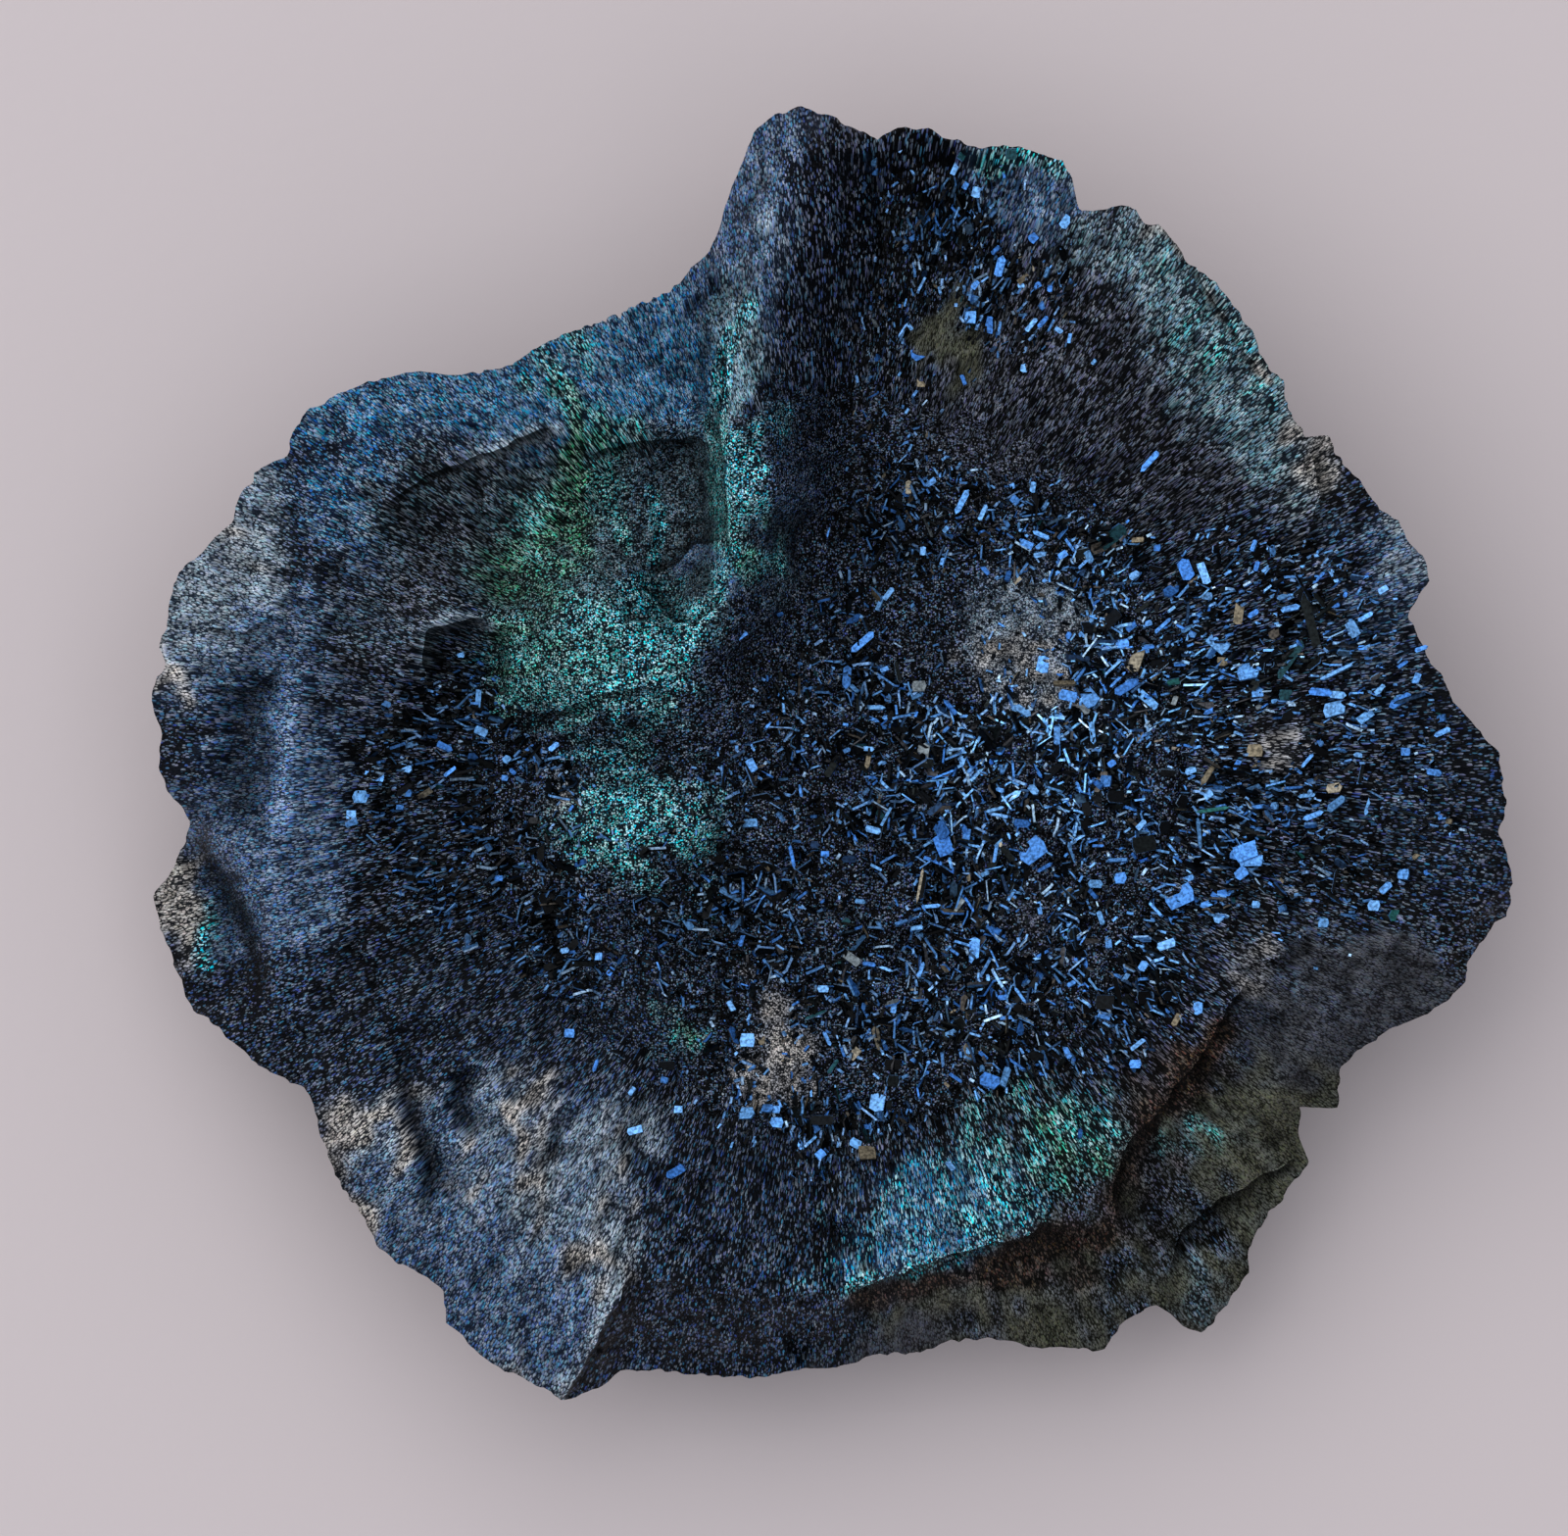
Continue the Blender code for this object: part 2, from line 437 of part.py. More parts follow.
def recess_points(outline):
    """Free points of the recess's floor and the crust's underside, which run parallel."""
    points = scatter(RECESS_FACET, 5)
    points = points[inside(points, outline)]
    return apart(points, outline, 0.6 * RECESS_FACET)


def recess_height(relief, x, y):
    """The floor that the crust lies on, a constant depth under the face."""
    return relief(x, y) - CRUST_THICKNESS - FIT_GAP


def rock_mesh(relief):
    """The massive ore: face with the crust's recess, broken sides and underside."""
    rim = rim_loop()
    border, foot, outline = crust_loops()
    lines = line_points()
    fixed = np.vstack([rim, border])
    open_face = np.vstack([apart(lines, fixed, 0.55 * FACE_FACET), scatter(FACE_FACET, 4)])
    open_face = open_face[inside(open_face, rim) & ~inside(open_face, border)]
    open_face = apart(open_face, fixed, 0.62 * FACE_FACET)
    low = recess_points(outline)
    points, top = triangulate([rim, border, foot, outline], np.vstack([open_face, low]))

    x, y = points[:, 0], points[:, 1]
    first_low = len(rim) + len(border)
    sunk = np.zeros(len(points), bool)
    sunk[first_low:first_low + len(foot) + len(outline)] = True
    sunk[len(points) - len(low):] = True
    height = np.where(sunk, recess_height(relief, x, y), relief(x, y))

    count = len(rim)
    rim_height = height[:count]
    shake = noise(rim[:, 0], rim[:, 1], 0.0034, 41)
    bottom = push_in(rim, 0.0026 + 0.0007 * noise(rim[:, 0], rim[:, 1], 0.005, 42))
    bottom_height = np.minimum(back_height(bottom[:, 0], bottom[:, 1]), rim_height - MIN_THICKNESS)
    middle = push_in(rim, 0.0008 + 0.0005 * shake)
    middle_height = rim_height + (bottom_height - rim_height) * (0.45 + 0.15 * shake)

    under = apart(scatter(BACK_FACET, 6), bottom, 0.6 * BACK_FACET)
    under = under[inside(under, bottom)]
    under_points, under_faces = triangulate([bottom], under)
    under_height = back_height(under_points[:, 0], under_points[:, 1])
    under_height[:count] = bottom_height

    start_middle = len(points)
    start_under = start_middle + count
    ring = np.arange(count)
    vertices = np.vstack([
        np.column_stack([points, height]),
        np.column_stack([middle, middle_height]),
        np.column_stack([under_points, under_height]),
    ])
    faces = np.vstack([
        top,
        band(ring, start_middle + ring),
        band(start_middle + ring, start_under + ring),
        under_faces[:, ::-1] + start_under,
    ])
    return vertices, faces


def crust_mesh(relief):
    """The body of the crystal crust: a skin of even thickness that fills the recess."""
    _, _, outline = crust_loops()
    count = len(outline)
    fine = np.vstack([apart(line_points(), outline, 0.55 * CRUST_FACET), scatter(CRUST_FACET, 7)])
    fine = fine[inside(fine, outline)]
    fine = apart(fine, outline, 0.62 * CRUST_FACET)
    top_points, top = triangulate([outline], fine)
    low_points, low = triangulate([outline], recess_points(outline))
    top_height = relief(top_points[:, 0], top_points[:, 1])
    grain = 0.00022 * noise(top_points[:, 0], top_points[:, 1], 0.0016, 51)
    top_height[count:] += grain[count:]
    low_height = recess_height(relief, low_points[:, 0], low_points[:, 1]) + FIT_GAP
    start_low = len(top_points)
    ring = np.arange(count)
    vertices = np.vstack([
        np.column_stack([top_points, top_height]),
        np.column_stack([low_points, low_height]),
    ])
    faces = np.vstack([top, band(ring, start_low + ring), low[:, ::-1] + start_low])
    return vertices, faces


def plate_mesh(centre, turn, lean, length, breadth):
    """A six-sided tabular crystal: a long hexagon, thickened, leant about its long side, turned."""
    half, side, tip = length / 2, breadth / 2, PLATE_POINT * breadth
    outline = np.array([
        (half, 0), (half - tip, side), (tip - half, side), (-half, 0), (tip - half, -side),
        (half - tip, -side),
    ])
    thick = PLATE_THICKNESS / 2
    flat = np.vstack([
        np.column_stack([outline, np.full(6, thick)]),
        np.column_stack([outline, np.full(6, -thick)]),
    ])
    a, b = math.radians(lean), math.radians(turn)
    roll = np.array([[1, 0, 0], [0, math.cos(a), -math.sin(a)], [0, math.sin(a), math.cos(a)]])
    spin = np.array([[math.cos(b), -math.sin(b), 0], [math.sin(b), math.cos(b), 0], [0, 0, 1]])
    faces = [(0, 1, 2, 3, 4, 5), (11, 10, 9, 8, 7, 6)]
    faces += [(k, k + 6, (k + 1) % 6 + 6, (k + 1) % 6) for k in range(6)]
    return flat @ roll.T @ spin.T + centre, faces


def crystal_places():
    """Where every crystal of the crust stands: the named large ones, then seeded smaller ones."""
    places = []
    for px, py, turn, length, breadth, lean in CRYSTALS:
        places.append((*place(px, py), turn, lean, length * PIXEL, breadth * PIXEL))
    _, _, outline = crust_loops()
    random = np.random.RandomState(12)
    spots = random.uniform(-0.5, 0.5, (FILL_TRIES, 2)) * SPECIMEN_WIDTH
    spots = spots[inside(spots, outline)]
    spots = apart(spots, np.vstack([outline, [spot[:2] for spot in places]]), FILL_APART)
    for x, y in spots[:FILL_COUNT]:
        length = random.uniform(*FILL_LENGTH)
        turn, lean = random.uniform(0, 180), random.uniform(*FILL_LEAN)
        places.append((x, y, turn, lean, length, FILL_BREADTH * length))
    return places


def crystal_plates(relief):
    """The crystals' closed meshes, each sunk into the crust far enough to be fused with it."""
    plates = []
    for x, y, turn, lean, length, breadth in crystal_places():
        reach = length / 2
        around = relief(x + np.array([0, reach, -reach, 0, 0]), y + np.array([0, 0, 0, reach, -reach]))
        height = min(around[0], around.mean())
        lift = PLATE_RISE * breadth * math.sin(math.radians(lean)) - PLATE_BURY
        plates.append(plate_mesh(np.array([x, y, height + lift]), turn, lean, length, breadth))
    return plates


def fuse(crust, plates):
    """Join the crystals to the crust in one closed body."""
    group = bpy.data.collections.new("crystals")
    for vertices, faces in plates:
        mesh = bpy.data.meshes.new("crystal")
        mesh.from_pydata(vertices.tolist(), [], faces)
        obj = bpy.data.objects.new("crystal", mesh)
        group.objects.link(obj)
    bpy.context.scene.collection.children.link(group)
    union = crust.modifiers.new("fuse crystals", "BOOLEAN")
    union.operation = "UNION"
    union.operand_type = "COLLECTION"
    union.collection = group
    bpy.context.view_layer.update()
    fused = bpy.data.meshes.new_from_object(crust.evaluated_get(bpy.context.evaluated_depsgraph_get()))
    crust.modifiers.clear()
    plain = crust.data
    crust.data = fused
    bpy.data.meshes.remove(plain)
    for obj in list(group.objects):
        bpy.data.objects.remove(obj, do_unlink=True)
    bpy.data.collections.remove(group)


def body(name, vertices, faces, material):
    """One object with its mesh in world place."""
    mesh = bpy.data.meshes.new(name)
    mesh.from_pydata(vertices.tolist(), [], faces.tolist())
    mesh.validate()
    mesh.materials.append(material)
    obj = bpy.data.objects.new(name, mesh)
    bpy.context.scene.collection.objects.link(obj)
    return obj


def finish(name, colour, roughness, metallic):
    """A plain Principled material."""
    material = bpy.data.materials.new(name)
    material.use_nodes = True
    shader = material.node_tree.nodes["Principled BSDF"]
    shader.inputs["Base Color"].default_value = (*colour, 1.0)
    shader.inputs["Roughness"].default_value = roughness
    shader.inputs["Metallic"].default_value = metallic
    return material


def main():
    for obj in list(bpy.data.objects):
        bpy.data.objects.remove(obj, do_unlink=True)
    relief = Relief()
    ore = finish("massive covellite", (0.030, 0.036, 0.055), 0.6, 0.3)
    crystal = finish("covellite crystals", (0.012, 0.030, 0.090), 0.3, 0.8)
    body("covellite_rock", *rock_mesh(relief), ore)
    crust = body("crystal_crust", *crust_mesh(relief), crystal)
    fuse(crust, crystal_plates(relief))


if __name__ == "__main__":
    main()
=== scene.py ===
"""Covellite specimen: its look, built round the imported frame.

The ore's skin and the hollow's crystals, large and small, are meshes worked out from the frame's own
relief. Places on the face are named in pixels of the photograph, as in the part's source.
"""

import math

import bpy
import numpy as np
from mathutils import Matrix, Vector


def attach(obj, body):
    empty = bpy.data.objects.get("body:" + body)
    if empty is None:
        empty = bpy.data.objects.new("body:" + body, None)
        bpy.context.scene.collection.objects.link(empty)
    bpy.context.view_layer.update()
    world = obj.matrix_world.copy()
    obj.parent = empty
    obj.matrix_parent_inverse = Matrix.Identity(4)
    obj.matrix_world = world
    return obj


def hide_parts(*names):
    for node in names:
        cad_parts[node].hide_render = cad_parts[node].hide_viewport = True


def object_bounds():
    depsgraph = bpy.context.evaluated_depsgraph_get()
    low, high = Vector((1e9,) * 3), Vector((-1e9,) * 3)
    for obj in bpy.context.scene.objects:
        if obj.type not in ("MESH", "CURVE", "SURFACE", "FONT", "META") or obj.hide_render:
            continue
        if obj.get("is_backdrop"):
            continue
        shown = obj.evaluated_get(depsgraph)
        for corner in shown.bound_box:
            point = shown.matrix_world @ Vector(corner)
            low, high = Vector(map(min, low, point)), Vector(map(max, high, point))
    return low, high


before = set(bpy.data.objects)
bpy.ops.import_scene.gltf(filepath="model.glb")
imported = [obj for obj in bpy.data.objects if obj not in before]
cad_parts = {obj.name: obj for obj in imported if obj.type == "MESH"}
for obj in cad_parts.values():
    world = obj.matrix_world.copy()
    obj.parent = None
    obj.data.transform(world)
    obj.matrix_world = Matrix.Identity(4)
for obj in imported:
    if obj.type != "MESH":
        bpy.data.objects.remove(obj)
CAD_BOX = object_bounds()

bl_info = {
    "name": "Covellite Specimen",
    "version": (1, 0, 0),
    "blender": (4, 5, 0),
    "location": "View3D > Sidebar > Specimen",
    "description": "Builds the skin, crystals and grains of a covellite specimen round its frame",
    "category": "Object",
}

MM = 0.001
ROCK_NODE = "covellite_rock"
CRUST_NODE = "crystal_crust"

# The photograph's frame, and the specimen's outline in it
PHOTO_SIZE_PX = (1600, 1567)
OUTLINE_CENTRE_PX = (850.0, 770.0)
OUTLINE_LEFT_PX = 153.0
OUTLINE_RIGHT_PX = 1546.0
SPECIMEN_WIDTH = 0.0907
PIXEL = SPECIMEN_WIDTH / (OUTLINE_RIGHT_PX - OUTLINE_LEFT_PX)


def place(px, py):
    """Metres across and up the face of a pixel of the photograph."""
    return (px - OUTLINE_CENTRE_PX[0]) * PIXEL, (OUTLINE_CENTRE_PX[1] - py) * PIXEL


def linear(code):
    """An sRGB hex colour such as 1d2431 as linear red, green and blue."""
    channels = np.array([int(code[k:k + 2], 16) for k in (0, 2, 4)]) / 255
    return np.where(channels <= 0.04045, channels / 12.92, ((channels + 0.055) / 1.055) ** 2.4)


def smoothstep(low, high, value):
    """0 below low, 1 above high, and a soft S between them."""
    t = np.clip((value - low) / (high - low), 0, 1)
    return t * t * (3 - 2 * t)


# The waves of a hash made from a sine, per column, row and seed, and its gain
HASH_WAVES = (127.1, 311.7, 74.7)
HASH_GAIN = 43758.5453


def hashed(i, j, seed):
    """A repeatable random number from 0 to 1 for each pair of whole numbers."""
    wave = np.sin(i * HASH_WAVES[0] + j * HASH_WAVES[1] + seed * HASH_WAVES[2]) * HASH_GAIN
    return wave - np.floor(wave)


def noise(x, y, size, seed):
    """Smooth noise from -1 to 1: hashed values on a square lattice of `size`, blended with a soft step."""
    u, v = x / size, y / size
    iu, iv = np.floor(u), np.floor(v)
    fu, fv = u - iu, v - iv
    su, sv = fu * fu * (3 - 2 * fu), fv * fv * (3 - 2 * fv)
    low = hashed(iu, iv, seed) * (1 - su) + hashed(iu + 1, iv, seed) * su
    high = hashed(iu, iv + 1, seed) * (1 - su) + hashed(iu + 1, iv + 1, seed) * su
    return 2 * (low * (1 - sv) + high * sv) - 1


def layers(x, y, table, start=0.0):
    """Layers of noise added up, each with its height and size in millimetres and its seed."""
    return sum((height * MM * noise(x, y, size * MM, seed) for height, size, seed in table), start)


def facets(x, y, size, slope, step, seed):
    """Broken crystal faces: each point takes the tilted plane of the nearest seed of a shaken lattice."""
    u, v = x / size, y / size
    iu, iv = np.floor(u), np.floor(v)
    nearest = np.full(x.shape, np.inf)
    height = np.zeros(x.shape)
    for du in (-1, 0, 1):
        for dv in (-1, 0, 1):
            i, j = iu + du, iv + dv
            away_u = u - i - hashed(i, j, seed)
            away_v = v - j - hashed(i, j, seed + 1)
            distance = away_u ** 2 + away_v ** 2
            tilt_u = (hashed(i, j, seed + 2) - 0.5) * 2 * slope * size
            tilt_v = (hashed(i, j, seed + 3) - 0.5) * 2 * slope * size
            plane = tilt_u * away_u + tilt_v * away_v + (hashed(i, j, seed + 4) - 0.5) * step
            closer = distance < nearest
            nearest = np.where(closer, distance, nearest)
            height = np.where(closer, plane, height)
    return height


class Survey:
    """Heights of the frame's face and underside on a square lattice.

    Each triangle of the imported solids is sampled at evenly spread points. A lattice cell keeps the mean
    of its highest samples and of its lowest ones, and a bell-shaped blur rounds the facets' edges.
    """

    # A cell's side, the steps along a triangle's side, the blur's width in cells, how far below the
    # outermost sample others still count, the empty cells round the solids and the outline's steps
    CELL = 0.35 * MM
    STEPS = 14
    BLUR_CELLS = 1.3
    LAYER = 0.6 * MM
    MARGIN_CELLS = 4
    OUTLINE_BINS = 1440

    def __init__(self):
        rock, rock_facing = self.samples(ROCK_NODE)
        crust, crust_facing = self.samples(CRUST_NODE)
        every = np.vstack([rock, crust])
        facing = np.append(rock_facing, crust_facing)
        self.low = every[:, :2].min(axis=0) - self.MARGIN_CELLS * self.CELL
        span = every[:, :2].max(axis=0) + self.MARGIN_CELLS * self.CELL - self.low
        self.shape = tuple(np.ceil(span / self.CELL).astype(int) + 1)
        self.top = self.layer(every[facing > 0], 1)
        self.under = self.layer(rock[rock_facing < 0], -1)
        self.hollow = self.coverage(crust)
        self.radii = self.outline(rock)

    def samples(self, name):
        """Points spread evenly over every triangle of a node, and which way each faces, up or down."""
        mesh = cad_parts[name].data
        mesh.calc_loop_triangles()
        corners = np.zeros(len(mesh.vertices) * 3)
        mesh.vertices.foreach_get("co", corners)
        index = np.zeros(len(mesh.loop_triangles) * 3, dtype=np.int32)
        mesh.loop_triangles.foreach_get("vertices", index)
        triangles = corners.reshape(-1, 3)[index].reshape(-1, 3, 3)
        i, j = np.mgrid[0:self.STEPS + 1, 0:self.STEPS + 1]
        kept = i + j <= self.STEPS
        weights = np.stack([i, j, self.STEPS - i - j])[:, kept] / self.STEPS
        points = np.einsum("tkc,ks->tsc", triangles, weights)
        upward = np.cross(triangles[:, 1] - triangles[:, 0], triangles[:, 2] - triangles[:, 0])[:, 2]
        facing = np.repeat(np.sign(upward), points.shape[1])
        return points.reshape(-1, 3), facing

    def cells(self, points):
        """Row and column of each point's lattice cell."""
        index = np.round((points[:, :2] - self.low) / self.CELL).astype(int)
        return index[:, 0], index[:, 1]

    def layer(self, points, sign):
        """The lattice of mean heights of the outermost samples, upwards or downwards."""
        col, row = self.cells(points)
        height = sign * points[:, 2]
        extreme = np.full(self.shape, -np.inf)
        np.maximum.at(extreme, (col, row), height)
        near = height > extreme[col, row] - self.LAYER
        total, count = np.zeros(self.shape), np.zeros(self.shape)
        np.add.at(total, (col[near], row[near]), height[near])
        np.add.at(count, (col[near], row[near]), 1)
        filled = count > 0
        table = np.where(filled, total / np.maximum(count, 1), 0.0)
        return sign * self.blur(self.spread(table, filled))

    def spread(self, table, filled):
        """Fill the empty cells from their neighbours, ring by ring."""
        weight = filled.astype(float)
        table = table * weight
        for _ in range(max(self.shape) // 2):
            if weight.min() > 0:
                break
            sums, counts = np.zeros_like(table), np.zeros_like(weight)
            for axis in (0, 1):
                for shift in (-1, 1):
                    sums += np.roll(table, shift, axis)
                    counts += np.roll(weight, shift, axis)
            new = (weight == 0) & (counts > 0)
            table = np.where(new, sums / np.maximum(counts, 1), table)
            weight = np.where(new, 1.0, weight)
        return table

    def blur(self, table):
        """A bell-shaped mean along both axes."""
        reach = int(3 * self.BLUR_CELLS) + 1
        bell = np.exp(-0.5 * (np.arange(-reach, reach + 1) / self.BLUR_CELLS) ** 2)
        bell /= bell.sum()
        for axis in (0, 1):
            padded = np.apply_along_axis(lambda line: np.pad(line, reach, mode="edge"), axis, table)
            table = np.apply_along_axis(lambda line: np.convolve(line, bell, mode="valid"), axis, padded)
        return table

    def coverage(self, points):
        """1 where the crust's samples are, 0 elsewhere, with a soft border."""
        col, row = self.cells(points)
        table = np.zeros(self.shape)
        table[col, row] = 1.0
        return self.blur(self.blur(table))

    def outline(self, points):
        """The specimen's radius in each of many equal steps of direction."""
        radius = np.hypot(points[:, 0], points[:, 1])
        turn = np.arctan2(points[:, 1], points[:, 0]) / (2 * math.pi) * self.OUTLINE_BINS
        radii = np.zeros(self.OUTLINE_BINS)
        np.maximum.at(radii, np.round(turn).astype(int) % self.OUTLINE_BINS, radius)
        return radii

    def read(self, table, x, y):
        """A lattice's value at any place, blended from the four cells round it."""
        end = np.array(self.shape) - 1.001
        col = np.clip((x - self.low[0]) / self.CELL, 0, end[0])
        row = np.clip((y - self.low[1]) / self.CELL, 0, end[1])
        i, j = col.astype(int), row.astype(int)
        fi, fj = col - i, row - j
        near = table[i, j] * (1 - fj) + table[i, j + 1] * fj
        far = table[i + 1, j] * (1 - fj) + table[i + 1, j + 1] * fj
        return near * (1 - fi) + far * fi

    def radius(self, turn):
        """The outline's radius in any direction, in radians."""
        steps = np.arange(self.OUTLINE_BINS + 1) * 2 * math.pi / self.OUTLINE_BINS
        return np.interp(turn % (2 * math.pi), steps, np.append(self.radii, self.radii[0]))


SURVEY = Survey()

